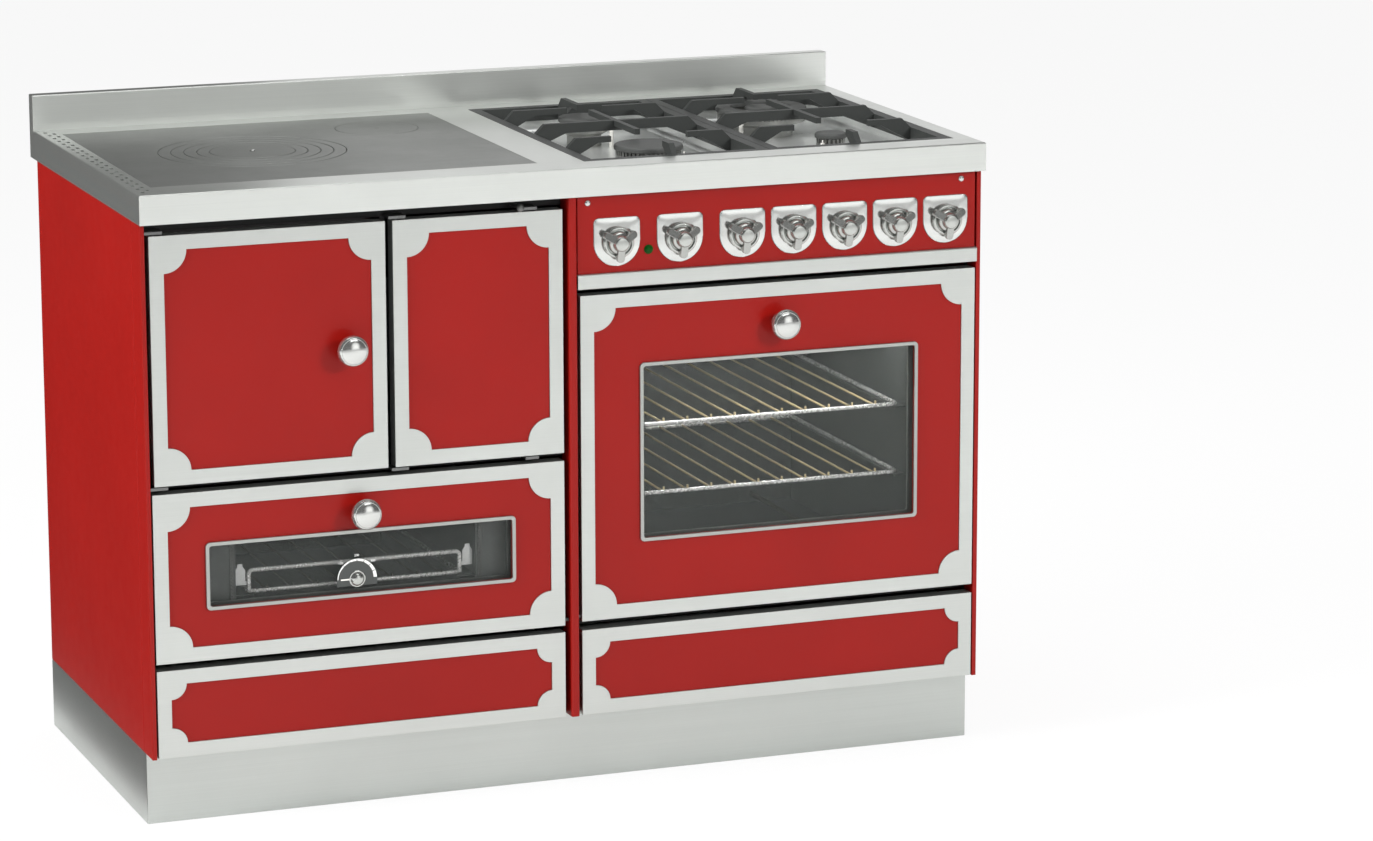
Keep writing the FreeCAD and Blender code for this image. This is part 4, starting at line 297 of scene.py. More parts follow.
def cast(name, colour, roughness, grit, shade):
    """Casting skin: fine grit over slow waves in the tone."""
    iron = Finish(name, colour)
    skin = iron.noise(grit, 4.0, 0.6)
    patch = iron.noise(14.0, 4.0)
    iron.tint(skin * 0.7 + patch * 0.8 - 0.3, shade)
    iron.feed("Roughness", roughness - 0.08 + 0.16 * skin)
    return iron.bump(skin, 0.22, 0.0005)


def pressed_flakes():
    brick = Finish("firebrick", (0.50, 0.41, 0.29))
    flake = brick.cells(210.0, "Color")
    soot = brick.noise(9.0, 5.0)
    toned = brick.mix(flake * 0.75, brick.colour, (0.30, 0.23, 0.15, 1))
    brick.feed("Base Color", brick.mix(soot * 1.8 - 0.75, toned, SOOT))
    brick.feed("Roughness", 0.78 + 0.16 * flake)
    return brick.bump(flake * 0.6 + brick.noise(300.0, 3.0), 0.5, 0.0012)


def woven_yarn():
    yarn = Finish("glass rope", (0.20, 0.20, 0.19), Roughness=0.9)
    slanted = {"bands_direction": "DIAGONAL"}
    warp = yarn.add("ShaderNodeTexWave", slanted, {"Vector": yarn.place, "Scale": YARN_SCALE})
    weft = yarn.add("ShaderNodeTexWave", slanted, {"Vector": yarn.stretched(-1, 1, 1), "Scale": YARN_SCALE})
    weave = warp * weft
    # Painted shade: the low grooves between the yarns are darkened.
    yarn.tint(1 - weave, 0.35)
    return yarn.bump(weave, 0.7, 0.0015)


def smooth_coat(name, colour, roughness, grit, shade, **constants):
    """Plastic, glaze or lens: an almost even colour with a faint skin."""
    coat = Finish(name, colour, **constants)
    skin = coat.noise(grit, 3.0)
    coat.tint(skin, shade)
    coat.feed("Roughness", roughness - 0.04 + 0.08 * skin)
    return coat.bump(skin, 0.06, 0.0003)


FINISHES["ground_cast_plate"] = ground_iron()
FINISHES["raw_cast_iron"] = cast("raw cast iron", (0.075, 0.072, 0.07), 0.62, 260.0, 0.55)
FINISHES["grid_cast_iron"] = cast("grid iron", (0.040, 0.043, 0.041), 0.5, 520.0, 0.75)
FINISHES["black_cap_enamel"] = cast("cap enamel", (0.075, 0.078, 0.075), 0.55, 700.0, 0.7)
FINISHES["black_carcass"] = cast("black carcass", (0.010, 0.010, 0.010), 0.5, 300.0, 0.6)
FINISHES["firebrick"] = pressed_flakes()
FINISHES["glass_rope"] = woven_yarn()
FINISHES["black_plastic"] = smooth_coat("black plastic", (0.018, 0.018, 0.019), 0.45, 350.0, 0.7)
FINISHES["ceramic"] = smooth_coat("ceramic", (0.80, 0.79, 0.74), 0.22, 120.0, 0.93, Coat_Weight=0.4)
FINISHES["green_lens"] = smooth_coat("green lens", (0.002, 0.060, 0.004), 0.3, 200.0, 0.7,
                                     Specular_IOR_Level=0.15)
FINISHES["door_glass"] = smooth_coat("door glass", (0.085, 0.095, 0.088), 0.06, 3.0, 0.85, Alpha=0.11,
                                     Specular_IOR_Level=0.5)
FINISHES["golden_wire"] = smooth_coat("golden wire", (0.92, 0.74, 0.40), 0.3, 300.0, 0.85, Metallic=0.35)
FINISHES["white_lacquer"] = smooth_coat("white lacquer", (0.85, 0.86, 0.84), 0.35, 200.0, 0.92)
print("finishes of the cooker:", len(FINISHES))

# %% [markdown]
# ## Camera, floor and light
#
# The camera stands where the photographer stood: left of the middle, a little above the worktop and far
# away, with a long lens. The floor is pale and plain, and the light on the cooker is soft.
#
# Polished metal only looks like metal when it has something bright and something darker to mirror. So the
# world that mirrors see is not the world that lights the cooker: it is bright low in front, and darker
# above, behind and to the sides.

# %% Set the camera
CAMERA_PLACE = (-2.185, -6.448, 1.939)
CAMERA_TURN = (pi / 2 - 0.2149, 0.0018, -0.3644)
LENS, SENSOR = 129.66, 36.0
camera_data = bpy.data.cameras.new("photo camera")
camera_data.lens, camera_data.sensor_width = LENS, SENSOR
camera = bpy.data.objects.new("photo camera", camera_data)
camera.location, camera.rotation_euler = CAMERA_PLACE, CAMERA_TURN
bpy.context.scene.collection.objects.link(camera)
bpy.context.scene.camera = camera
bpy.context.scene.view_settings.view_transform = "Standard"
print("camera at", CAMERA_PLACE)

# %% Lay the floor
FLOOR_SIZE, FLOOR_LIFT, FLOOR_GLEAM = 60.0, 0.88, 0.25


def studio_piece(name, bm, material):
    mesh = bpy.data.meshes.new(name)
    bm.to_mesh(mesh)
    bm.free()
    mesh.materials.append(material)
    piece = bpy.data.objects.new(name, mesh)
    bpy.context.scene.collection.objects.link(piece)
    return piece


pale = Finish("pale floor", (0.90, 0.90, 0.90), Roughness=0.95, Specular_IOR_Level=0.1)
pale.tint(pale.noise(1.5, 3.0), 0.99)
seen = pale.add("ShaderNodeLightPath", {}, {}, "Is Camera Ray")
glossy = pale.add("ShaderNodeLightPath", {}, {}, "Is Glossy Ray")
white = pale.add("ShaderNodeEmission", {}, {"Color": (1, 1, 1, 1), "Strength": 1.0})
own = Signal(pale, pale.shader.outputs[0])
lift = FLOOR_LIFT * seen + FLOOR_GLEAM * glossy
blend = pale.add("ShaderNodeMixShader", {}, {0: lift, 1: own, 2: white})
pale.tree.links.new(blend.socket, pale.tree.nodes["Material Output"].inputs["Surface"])
floor_bm = bmesh.new()
bmesh.ops.create_grid(floor_bm, x_segments=1, y_segments=1, size=FLOOR_SIZE / 2)
studio_piece("studio floor", floor_bm, pale.material)
print("floor laid")

# %% [markdown]
# ## Dark cards
#
# A photographer puts black cards beside shiny things, out of the picture, to keep their sides deep. These
# two are seen by mirrors alone: one lies on the floor beyond the left side, the other stands behind the
# hotplate. Without them the enamelled side and the ground iron would wash out.

# %% Place the cards
card_black = smooth_coat("dark card", (0.03, 0.03, 0.03), 0.9, 4.0, 0.95, Specular_IOR_Level=0.0)
CARDS = {"side card": [(-5.0, -0.6, 0.001), (-0.64, -0.6, 0.001), (-0.64, 9.0, 0.001), (-5.0, 9.0, 0.001)],
         "back card": [(-3.5, 2.5, 0.15), (0.38, 2.5, 0.15), (0.38, 2.5, 2.8), (-3.5, 2.5, 2.8)]}
for name, corners in CARDS.items():
    card_bm = bmesh.new()
    card_bm.faces.new([card_bm.verts.new(corner) for corner in corners])
    card = studio_piece(name, card_bm, card_black.material)
    for kind in ("camera", "diffuse", "transmission", "volume_scatter", "shadow"):
        setattr(card, "visible_" + kind, False)
print(len(CARDS), "cards placed")

# %% [markdown]
# ## World and lamps
#
# The world is one plain white whose strength depends on who looks: the camera, and rays that have gone
# through glass, see white, the cooker is lit by a weaker level, and mirrors see the uneven world described
# above. The two big softboxes are hidden from mirrors, so that flat steel doesn't turn white, while the
# gleam and top softboxes may show as soft streaks. Inside each oven a faint lamp lights the racks, which
# would be lost behind the glass.

# %% Make the world
AMBIENT, FRONT_LEVEL, TOP_LEVEL, BACK_LEVEL, DARKEST = 0.48, 1.65, 1.15, 1.15, 0.06
HIGH_DROP, SIDE_DROP, BRIGHT_WAY = 1.2, 1.7, 0.32
world = bpy.data.worlds.new("studio")
world.use_nodes = True
bpy.context.scene.world = world
# A world has a node tree too, so the same helper adds its nodes. It only has no main shader to set up.
studio = Finish.__new__(Finish)
studio.tree = world.node_tree
way = studio.add("ShaderNodeTexCoord", {}, {}, "Generated")
across = studio.add("ShaderNodeSeparateXYZ", {}, {"Vector": way}, "X")
back = studio.add("ShaderNodeSeparateXYZ", {}, {"Vector": way}, "Y")
up = studio.add("ShaderNodeSeparateXYZ", {}, {"Vector": way}, "Z")
aside = studio.maths("ABSOLUTE", across - BRIGHT_WAY)


def fall(value, start, stop, drop):
    """How much strength the mirrored world loses while a value goes from start to stop."""
    return studio.add("ShaderNodeMapRange", {}, {"Value": value, "From Min": start, "From Max": stop,
                                                 "To Min": 0.0, "To Max": drop})


loss = (fall(up, 0.1, 0.9, FRONT_LEVEL - TOP_LEVEL) + fall(back, -0.2, 0.9, FRONT_LEVEL - BACK_LEVEL)
        + fall(up, 0.29, 0.5, HIGH_DROP) + fall(aside, 0.12, 0.3, SIDE_DROP))
seen = studio.add("ShaderNodeLightPath", {}, {}, "Is Camera Ray")
glossy = studio.add("ShaderNodeLightPath", {}, {}, "Is Glossy Ray")
through = studio.add("ShaderNodeLightPath", {}, {}, "Is Transmission Ray")
mirrored = studio.maths_max(FRONT_LEVEL - loss, DARKEST)
level = studio.maths_max(glossy * mirrored + (1 - glossy) * AMBIENT, studio.maths_max(seen, through))
studio.tree.links.new(level.socket, studio.tree.nodes["Background"].inputs["Strength"])
studio.tree.nodes["Background"].inputs["Color"].default_value = (1, 1, 1, 1)
print("world set")

# %% Hang the lamps
def softbox(name, place, target, size, power):
    """A rectangular lamp that faces its target, with its size in metres and its power in watts."""
    light = bpy.data.lights.new(name, "AREA")
    light.shape = "RECTANGLE"
    light.size, light.size_y = size
    light.energy = power
    lamp = bpy.data.objects.new(name, light)
    lamp.location = place
    lamp.rotation_euler = (Vector(target) - Vector(place)).to_track_quat("-Z", "Y").to_euler()
    bpy.context.scene.collection.objects.link(lamp)
    return lamp


MIDDLE = (0, 0, 0.45)
key_light = softbox("key softbox", (2.3, -4.2, 2.5), MIDDLE, (0.9, 0.9), 150)
key_light.visible_glossy = False
softbox("gleam softbox", (0.8, -3.0, 3.8), MIDDLE, (2.6, 1.0), 24)
side_light = softbox("left softbox", (-4.2, -0.8, 2.2), MIDDLE, (1.8, 1.8), 240)
side_light.visible_glossy = False
softbox("top softbox", (-0.2, 0.6, 3.8), MIDDLE, (3.0, 2.0), 45)
oven_light = softbox("oven light", (0.3, -0.258, 0.60), (0.3, 0.0, 0.42), (0.38, 0.01), 0.9)
shelf_light = softbox("shelf light", (-0.3, -0.262, 0.386), (-0.3, -0.245, 0.30), (0.38, 0.006), 0.012)
for lamp in (oven_light, shelf_light):
    lamp.visible_camera = False
print("lamps hung")

# %% [markdown]
# ## Rounded copies
#
# Real sheet metal has no razor edges: a fold or a cut always catches a thin line of light. The packed
# meshes are exact but sharp, and made of loose triangles. So most nodes are shown by a copy: its doubles are
# merged, its flat areas dissolved into whole faces, and a Bevel modifier rounds every edge that turns by
# more than about thirty degrees. A Weighted Normal modifier after it keeps the big flat faces evenly shaded,
# because it leans every corner's normal towards the largest face there. The copy stays where the node is,
# because its place is in its mesh.
#
# A piece that is turned or bent has its roundings in its outline. It gets an edge of 0, which adds no
# modifier and only marks its sharp edges.

# %% Helpers that finish a piece
EDGE_ANGLE, FLAT_ANGLE, WELD, SHELL_WELD = radians(32), radians(0.5), 0.004 * MM, 0.002 * MM


def finished(name, bm, body, slot, replaced=(), edge=0.5, segments=2, look=None):
    """Turn a bmesh into a piece that rides on a body.

    Replaced names the nodes that it stands for. Edge is the rounding in millimetres, where 0 means none.
    Look picks another finish than the one of the node's slot.
    """
    mesh = bpy.data.meshes.new(name)
    bm.to_mesh(mesh)
    bm.free()
    mesh.shade_smooth()
    mesh.materials.append(FINISHES[look or slot].material)
    piece = bpy.data.objects.new(name, mesh)
    bpy.context.scene.collection.objects.link(piece)
    if edge:
        rounding = piece.modifiers.new("rounded edges", "BEVEL")
        rounding.width, rounding.segments = edge * MM, segments
        rounding.limit_method, rounding.angle_limit = "ANGLE", EDGE_ANGLE
        piece.modifiers.new("flat areas stay flat", "WEIGHTED_NORMAL").keep_sharp = True
    else:
        mesh.set_sharp_from_angle(angle=EDGE_ANGLE)
    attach(piece, body)
    if replaced:
        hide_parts(*replaced)
    return piece


def merged(node, wanted=None):
    """The node's triangles joined up, with flat areas dissolved. Wanted picks faces by their middle."""
    bm = bmesh.new()
    bm.from_mesh(frame["nodes"][node].data)
    bmesh.ops.remove_doubles(bm, verts=bm.verts, dist=WELD)
    if wanted:
        spare = [face for face in bm.faces if not wanted(face.calc_center_median())]
        bmesh.ops.delete(bm, geom=spare, context="FACES")
    bmesh.ops.dissolve_limit(bm, angle_limit=FLAT_ANGLE, verts=bm.verts, edges=bm.edges)
    return bm


def rounded_copy(node, edge):
    return finished(node + "_finished", merged(node), body_of[node], slot_of[node], (node,), edge)


print("pieces can be finished")

# %% Copy the sheet metal, the castings and the hidden works
EDGES = {"worktop": 0.5, "plinth": 1.2, "side_panels_and_posts": 0.6, "back_panel": 0, "carcass": 0.4,
         "hinge_pins_and_brackets": 0.4, "levelling_feet": 0.8, "control_panel": 0.9,
         "firebox_door_frame": 0.8, "flue_door_frame": 0.8,
         "left_drawer_body": 0.6, "right_drawer_body": 0.6,
         "firebox_door_panel": 0.3, "flue_door_panel": 0.3, "wood_oven_door_panel": 0.3,
         "oven_door_panel": 0.3, "left_drawer_panel": 0.3, "right_drawer_panel": 0.3,
         "wood_oven_door_glass": 0.5, "oven_door_glass": 0.5, "hob_pan": 0.4, "firebox_body": 0.8,
         "firebricks": 1.5, "ash_pan": 0.4, "wood_oven_cavity": 0.5, "oven_cavity": 0.5,
         "heating_elements": 0, "gas_supply": 0.5, "electric_controls": 0.8, "flue_damper": 0.4,
         "hotplate": 1.0, "left_grid": 1.4, "right_grid": 1.4, "burner_bodies": 0.3, "burner_caps": 1.2,
         "igniters": 0.3, "door_seals": 1.2,
         "hob_ring_1": 1.1, "hob_ring_2": 1.1, "hob_ring_3": 1.1, "hob_ring_4": 1.1, "hob_disc": 1.1,
         "rear_hob_disc": 1.1}
for node, edge in EDGES.items():
    rounded_copy(node, edge)
print(len(EDGES), "rounded copies")

# %% [markdown]
# ## Window trims
#
# The two oven doors have a darker trim round their window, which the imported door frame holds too. A trim is
# a piece of its own on the cooker, so the frame is shown by two copies, one of the border's faces and one of
# the trim's, which are picked by where they lie.

# %% Copy the oven doors' borders and trims
TRIM_MARGIN, TRIM_BACK = 9.0 * MM, -284.0 * MM


def framed_door(door):
    """The window's trim lies just outside the glass, in front of the liner."""
    low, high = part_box(door + "_glass")
    node = door + "_frame"

    def is_trim(middle):
        beside = low.x - TRIM_MARGIN < middle.x < high.x + TRIM_MARGIN
        level = low.z - TRIM_MARGIN < middle.z < high.z + TRIM_MARGIN
        return beside and level and middle.y < TRIM_BACK

    border = merged(node, lambda middle: not is_trim(middle))
    trim = merged(node, is_trim)
    finished(node + "_border", border, body_of[node], slot_of[node], (node,), 0.8)
    finished(node + "_trim", trim, body_of[node], slot_of[node], look="trim_steel")


framed_door("wood_oven_door")
framed_door("oven_door")
print("borders and trims copied")

# %% [markdown]
# ## Turned knobs
#
# The round door knobs are turned on a lathe, so the lesson turns them too: half of the outline is drawn as
# pairs of radius and height, and bmesh's spin takes it round the axis. The face is a shallow dome with a
# thin groove round it, which is the dark ring in the photograph's knobs. The small polished stud in the
# middle of the hotplate's disc is turned in the same way.

# %% A lathe
def turned(profile, foot, axis, steps=72):
    """Spin pairs of radius and height in millimetres about an axis that starts at the foot."""
    up = Vector(axis)
    out = up.orthogonal().normalized()
    bm = bmesh.new()
    line = [bm.verts.new((Vector(foot) + out * radius + up * height) * MM) for radius, height in profile]
    for pair in zip(line, line[1:]):
        bm.edges.new(pair)
    bmesh.ops.spin(bm, geom=bm.verts[:] + bm.edges[:], cent=Vector(foot) * MM, axis=up, dvec=(0, 0, 0),
                   angle=2 * pi, steps=steps, use_merge=True)
    bmesh.ops.remove_doubles(bm, verts=bm.verts, dist=SHELL_WELD)
    bmesh.ops.recalc_face_normals(bm, faces=bm.faces)
    return bm


def joined(parts):
    """Several bmeshes as one, each still a closed shell of its own."""
    whole = bmesh.new()
    for part in parts:
        mesh = bpy.data.meshes.new("part")
        part.to_mesh(mesh)
        part.free()
        whole.from_mesh(mesh)
        bpy.data.meshes.remove(mesh)
    return whole


def box_mm(node):
    """The low and the high corner of a node's box, in millimetres."""
    return [Vector(corner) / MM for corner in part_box(node)]


def length_of(profile):
    return max(height for radius, height in profile)


print("lathe ready")

# %% Turn the three door knobs and the stud of the disc
FORWARD = (0, -1, 0)
DOOR_KNOB = [(0, 0), (12, 0), (12, 2.6), (11.4, 3.2), (9.4, 3.8), (8, 5.4), (7.3, 8), (7, 12), (7.4, 14.4),
             (8.6, 16.6), (11, 18.6), (15, 20.2), (18.6, 21), (20.2, 21.7), (20.8, 22.6), (21, 23.6),
             (20.9, 25.6), (20.5, 27.2), (19.8, 28.6), (18.8, 29.8), (18, 30.4), (17.6, 30.5), (17.3, 29.8),
             (16.9, 29.8), (16.6, 30.7), (15, 31.8), (12, 32.9), (8, 33.9), (4, 34.4), (0, 34.5)]
for node in ("firebox_door_knob", "wood_oven_door_knob", "oven_door_knob"):
    low, high = box_mm(node)
    middle = (low + high) / 2
    foot = (middle.x, low.y + length_of(DOOR_KNOB), middle.z)
    finished(node + "_turned", turned(DOOR_KNOB, foot, FORWARD), body_of[node], slot_of[node], (node,), 0)
STUD = [(0, -1.2), (3.6, -1.2), (3.6, 0), (3.3, 0.6), (2.6, 1), (1.4, 1.25), (0, 1.3)]
low, high = box_mm("hob_disc")
stud = turned(STUD, ((low.x + high.x) / 2, (low.y + high.y) / 2, high.z), (0, 0, 1), 32)
finished("hob_disc_stud", stud, body_of["hob_disc"], "ground_cast_plate", edge=0, look="polished_steel")
print("door knobs and stud turned")

# %% [markdown]
# ## Control knobs
#
# Each of the seven controls is a round skirt with a groove in its face, a barrel that narrows in steps, and
# a grip with three arms that slope back to rounded tips. The skirt and barrel are one turned piece. An arm
# starts as a cube whose outer end is pulled down, the corners of its tip are bevelled round, and it is
# turned to its place about the axis. The three arms meet in the middle, where the barrel's end covers them.

# %% Make the grips
SKIRT = [(0, 0), (18.5, 0), (18.5, 1.4), (20.8, 1.4), (21.5, 2.1), (21.5, 6.4), (20.6, 7.4), (18.6, 7.9),
         (17.6, 7.4), (17.2, 4.6), (15.8, 4.6), (15.6, 9.6), (14.6, 11.2), (12.8, 12), (11.6, 13.2),
         (11.2, 16.2), (10.2, 18.6), (9.4, 20), (8.6, 20.7), (7.6, 20.95), (0, 21)]
SKIRT_R = max(radius for radius, height in SKIRT)
ARM_LENGTH, ARM_WIDTH, ARM_ROOT, ARM_TOP, ARM_TIP = 26.4, 10.4, 6.0, 20.2, 13.6
ARM_TURNS, ARM_TIP_R = (60, 180, 300), 4.6


def grip_arms(foot):
    """Three sloping arms about a knob's axis, whose foot is given in millimetres."""
    arms = bmesh.new()
    middle_height = (ARM_TOP + ARM_ROOT) / 2
    for turn in ARM_TURNS:
        arm = bmesh.ops.create_cube(arms, size=1.0)["verts"]
        bmesh.ops.scale(arms, verts=arm, vec=Vector((ARM_WIDTH, ARM_TOP - ARM_ROOT, ARM_LENGTH)) * MM)
        bmesh.ops.translate(arms, verts=arm, vec=Vector((0, -middle_height, ARM_LENGTH / 2)) * MM)
        tip = [vert for vert in arm if vert.co.z > 0.9 * ARM_LENGTH * MM]
        upper = [vert for vert in tip if vert.co.y < -0.9 * ARM_TOP * MM]
        bmesh.ops.translate(arms, verts=upper, vec=Vector((0, ARM_TOP - ARM_TIP, 0)) * MM)
        corners = [edge for edge in {edge for vert in tip for edge in vert.link_edges}
                   if abs(edge.verts[0].co.y - edge.verts[1].co.y) > 2 * MM
                   and min(vert.co.z for vert in edge.verts) > 0.9 * ARM_LENGTH * MM]
        rounded = bmesh.ops.bevel(arms, geom=corners, offset=ARM_TIP_R * MM, offset_type="OFFSET",
                                  segments=5, profile=0.5, affect="EDGES", clamp_overlap=True, material=-1)
        whole = {vert for face in rounded["faces"] for vert in face.verts} | {v for v in arm if v.is_valid}
        to_place = Matrix.Rotation(radians(turn), 3, "Y")
        bmesh.ops.rotate(arms, verts=list(whole), cent=(0, 0, 0), matrix=to_place)
    bmesh.ops.translate(arms, verts=arms.verts, vec=Vector(foot) * MM)
    return arms


CONTROLS = [node for node in slot_of if node.startswith("gas_knob") or node in (
    "oven_selector_knob", "oven_thermostat_knob", "oven_timer_knob")]
for node in CONTROLS:
    low, high = box_mm(node)
    foot = ((low.x + high.x) / 2, low.y + length_of(SKIRT), high.z - SKIRT_R)
    finished(node + "_skirt", turned(SKIRT, foot, FORWARD), body_of[node], slot_of[node], (node,), 0)
    # The grip is written darker than its skirt, though the knob is one metal: painted shade.
    finished(node + "_grip", grip_arms(foot), body_of[node], slot_of[node], (), 0.9, 3, "shaded_grip_metal")
print(len(CONTROLS), "control knobs")

# %% [markdown]
# ## Trim of the control panel
#
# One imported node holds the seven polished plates, two screws and the steel strip below them. They are
# different things on the cooker, so they are made one by one. A plate is square above and half round below:
# its outline is drawn from three arcs, and its face is extruded in rings that shrink towards the knob's
# axis, which presses it up to a low dome. The strip is a rounded copy of its own faces. The screws are
# turned with a proper dome, and so is the green lens of the pilot lamp.

# %% Make the plates, the strip and the screws
TRIM = "control_panel_trim"
STRIP_TOP, PANEL_FACE, KNOB_AXIS_Z = 713.5, -289.0, 755.0
PLATE_R, PLATE_CORNER, ARC_STEPS, CORNER_STEPS = 33.5, 7.0, 28, 6
PLATE_STEPS = ((1, 0.3), (0.97, 1.1), (0.88, 1.9), (0.74, 2.45), (0.52, 2.85), (0.3, 3.0))


def knob_plate(x):
    """A plate that is square above and half round below, pressed up in steps to a low dome."""
    corner = PLATE_R - PLATE_CORNER
    arcs = [(0, 0, PLATE_R, pi, 2 * pi, ARC_STEPS), (corner, corner, PLATE_CORNER, 0, pi / 2, CORNER_STEPS),
            (-corner, corner, PLATE_CORNER, pi / 2, pi, CORNER_STEPS)]
    bm = bmesh.new()
    rim = []
    for across, upward, radius, start, stop, steps in arcs:
        for k in range(steps + 1):
            angle = start + (stop - start) * k / steps
            place = Vector((x + across, PANEL_FACE, KNOB_AXIS_Z + upward))
            place += radius * Vector((cos(angle), 0, sin(angle)))
            rim.append(bm.verts.new(place * MM))
    face, share, height = bm.faces.new(rim), 1.0, 0.0
    to_axis = Matrix.Translation(-Vector((x, 0, KNOB_AXIS_Z)) * MM)
    for next_share, next_height in PLATE_STEPS:
        grown = bmesh.ops.extrude_face_region(bm, geom=[face])["geom"]
        face = next(part for part in grown if isinstance(part, bmesh.types.BMFace))
        shrink = next_share / share
        bmesh.ops.scale(bm, verts=face.verts[:], vec=(shrink, 1, shrink), space=to_axis)
        bmesh.ops.translate(bm, verts=face.verts[:], vec=Vector((0, height - next_height, 0)) * MM)
        share, height = next_share, next_height
    bmesh.ops.recalc_face_normals(bm, faces=bm.faces)
    return bm


plate_xs = [(box_mm(node)[0].x + box_mm(node)[1].x) / 2 for node in CONTROLS]
plates = joined([knob_plate(x) for x in plate_xs])
finished("knob_plates", plates, body_of[TRIM], "polished_steel", (TRIM,), 0.3)
steel_strip = merged(TRIM, lambda middle: middle.z < STRIP_TOP * MM)
finished("steel_strip", steel_strip, body_of[TRIM], "door_steel")
SCREW = [(0, 0), (4.2, 0), (4.2, 0.5), (3.9, 1.2), (3.2, 1.8), (2.2, 2.2), (1.2, 2.35), (0, 2.4)]
SCREW_X, SCREW_Z = {"left": 20.0, "right": 567.5}, 809.8
for side, x in SCREW_X.items():
    screw = turned(SCREW, (x, PANEL_FACE, SCREW_Z), FORWARD, 24)
    finished("panel_screw_" + side, screw, body_of[TRIM], "polished_steel", edge=0)
print(len(plate_xs), "plates, the strip and", len(SCREW_X), "screws made")

# %% Turn the back panel's screws and the pilot lamp's lens
BACK_SCREW_XS, BACK_SCREW_IN = (-540, -340, -140, 60, 260, 460), 12.0
low, high = box_mm("back_panel")
rows = (low.z + BACK_SCREW_IN, high.z - BACK_SCREW_IN)
back_screws = [turned(SCREW, (x, high.y, z), (0, 1, 0), 20) for x in BACK_SCREW_XS for z in rows]
finished("back_panel_screws", joined(back_screws), body_of["back_panel"], "zinc_plated_steel", edge=0)
LAMP_LENS = [(0, -6), (5, -6), (5, 0), (6.4, 0), (6.4, 0.9), (6, 1.3), (5.2, 1.4), (4.9, 1.9), (4.2, 2.6),
             (3, 3.1), (1.5, 3.4), (0, 3.5)]
low, high = box_mm("pilot_lamp")
lens_foot = ((low.x + high.x) / 2, low.y + length_of(LAMP_LENS), (low.z + high.z) / 2)
lens = turned(LAMP_LENS, lens_foot, FORWARD, 32)
finished("pilot_lamp_lens", lens, body_of["pilot_lamp"], "green_lens", ("pilot_lamp",), 0)
print(len(back_screws), "back screws and the lens turned")

# %% [markdown]
# ## Bent wire
#
# The racks of the right oven, and the shelf and guard rail of the left one, are bent from round wire. A
# circle is the section: it is extruded along each straight run and spun about a centre at each bend, which
# gives the real radius of a bent rod, where a sharp mitre would look cut.

# %% A wire bender
BEND_STEPS = 4


def bent_rod(points, radius, bend, sides=10):
    """A round rod through points in millimetres; it closes on itself where the last point is the first."""
    points = [Vector(point) for point in points]
    loop = points[0] == points[-1]
    way = (points[1] - points[0]).normalized()
    bm = bmesh.new()
    place = Matrix.Translation(points[0] * MM) @ way.to_track_quat("Z", "X").to_matrix().to_4x4()
    bmesh.ops.create_circle(bm, cap_ends=not loop, radius=radius * MM, segments=sides, matrix=place)
    rim, here = bm.edges[:], points[0]
    for corner, after in zip(points[1:], points[2:] + [None]):
        way = (corner - here).normalized()
        stop = corner
        if after is not None:
            leaving = (after - corner).normalized()
            turn, hinge = way.angle(leaving), way.cross(leaving).normalized()
            stop = corner - way * bend * tan(turn / 2)
        ring = bmesh.ops.extrude_edge_only(bm, edges=rim)["geom"]
        moved = [part for part in ring if isinstance(part, bmesh.types.BMVert)]
        bmesh.ops.translate(bm, verts=moved, vec=(stop - here) * MM)
        rim = [part for part in ring
               if isinstance(part, bmesh.types.BMEdge) and set(part.verts) <= set(moved)]
        if after is not None:
            centre = (stop + hinge.cross(way) * bend) * MM
            last = bmesh.ops.spin(bm, geom=rim + moved, cent=centre, axis=hinge, dvec=(0, 0, 0), angle=turn,
                                  steps=BEND_STEPS)["geom_last"]
            rim = [part for part in last if isinstance(part, bmesh.types.BMEdge)]
            here = corner + leaving * bend * tan(turn / 2)
    if not loop:
        bmesh.ops.holes_fill(bm, edges=rim, sides=0)
    bmesh.ops.remove_doubles(bm, verts=bm.verts, dist=SHELL_WELD)
    bmesh.ops.recalc_face_normals(bm, faces=bm.faces)
    return bm


print("wire bender ready")

# %% [markdown]
# ## Racks, shelf and guard rail
#
# A rack is a closed rectangle of thick wire with thin bars across it, and each bar ends in front in a short
# upturned stub. The bars have a golden tinge in the right oven and are dark in the left one, where their dark
# finish is painted shade, so frames and bars are separate pieces. The guard rail stands in front of the shelf
# and hooks onto two white plates.

# %% Bend the racks and the shelf
WIRE_R, BAR_R, BAR_PITCH, STUB, WIRE_BEND, BAR_BEND, RAIL_BEND = 3.0, 1.6, 35.0, 7.0, 9.0, 2.0, 5.0
RACK_FRONT, RACK_DEPTH = -252.0, 390.0
OVEN_MID, WOOD_MID = 299.25, -302.65


def rack_frame(middle, width, z):
    """A closed rectangle of thick wire."""
    half, back = width / 2, RACK_FRONT + RACK_DEPTH
    return bent_rod([(middle, RACK_FRONT, z), (middle + half, RACK_FRONT, z), (middle + half, back, z),
                     (middle - half, back, z), (middle - half, RACK_FRONT, z), (middle, RACK_FRONT, z)],
                    WIRE_R, WIRE_BEND, 12)


def rack_bars(middle, width, z):
    """Thin bars from front to back; each ends in a short upturned stub."""
    back, count = RACK_FRONT + RACK_DEPTH, int(width // BAR_PITCH)
    xs = [middle + (k - (count - 1) / 2) * BAR_PITCH for k in range(count)]
    paths = [[(x, back, z), (x, RACK_FRONT, z), (x, RACK_FRONT, z + STUB)] for x in xs]
    return [bent_rod(path, BAR_R, BAR_BEND, 8) for path in paths]


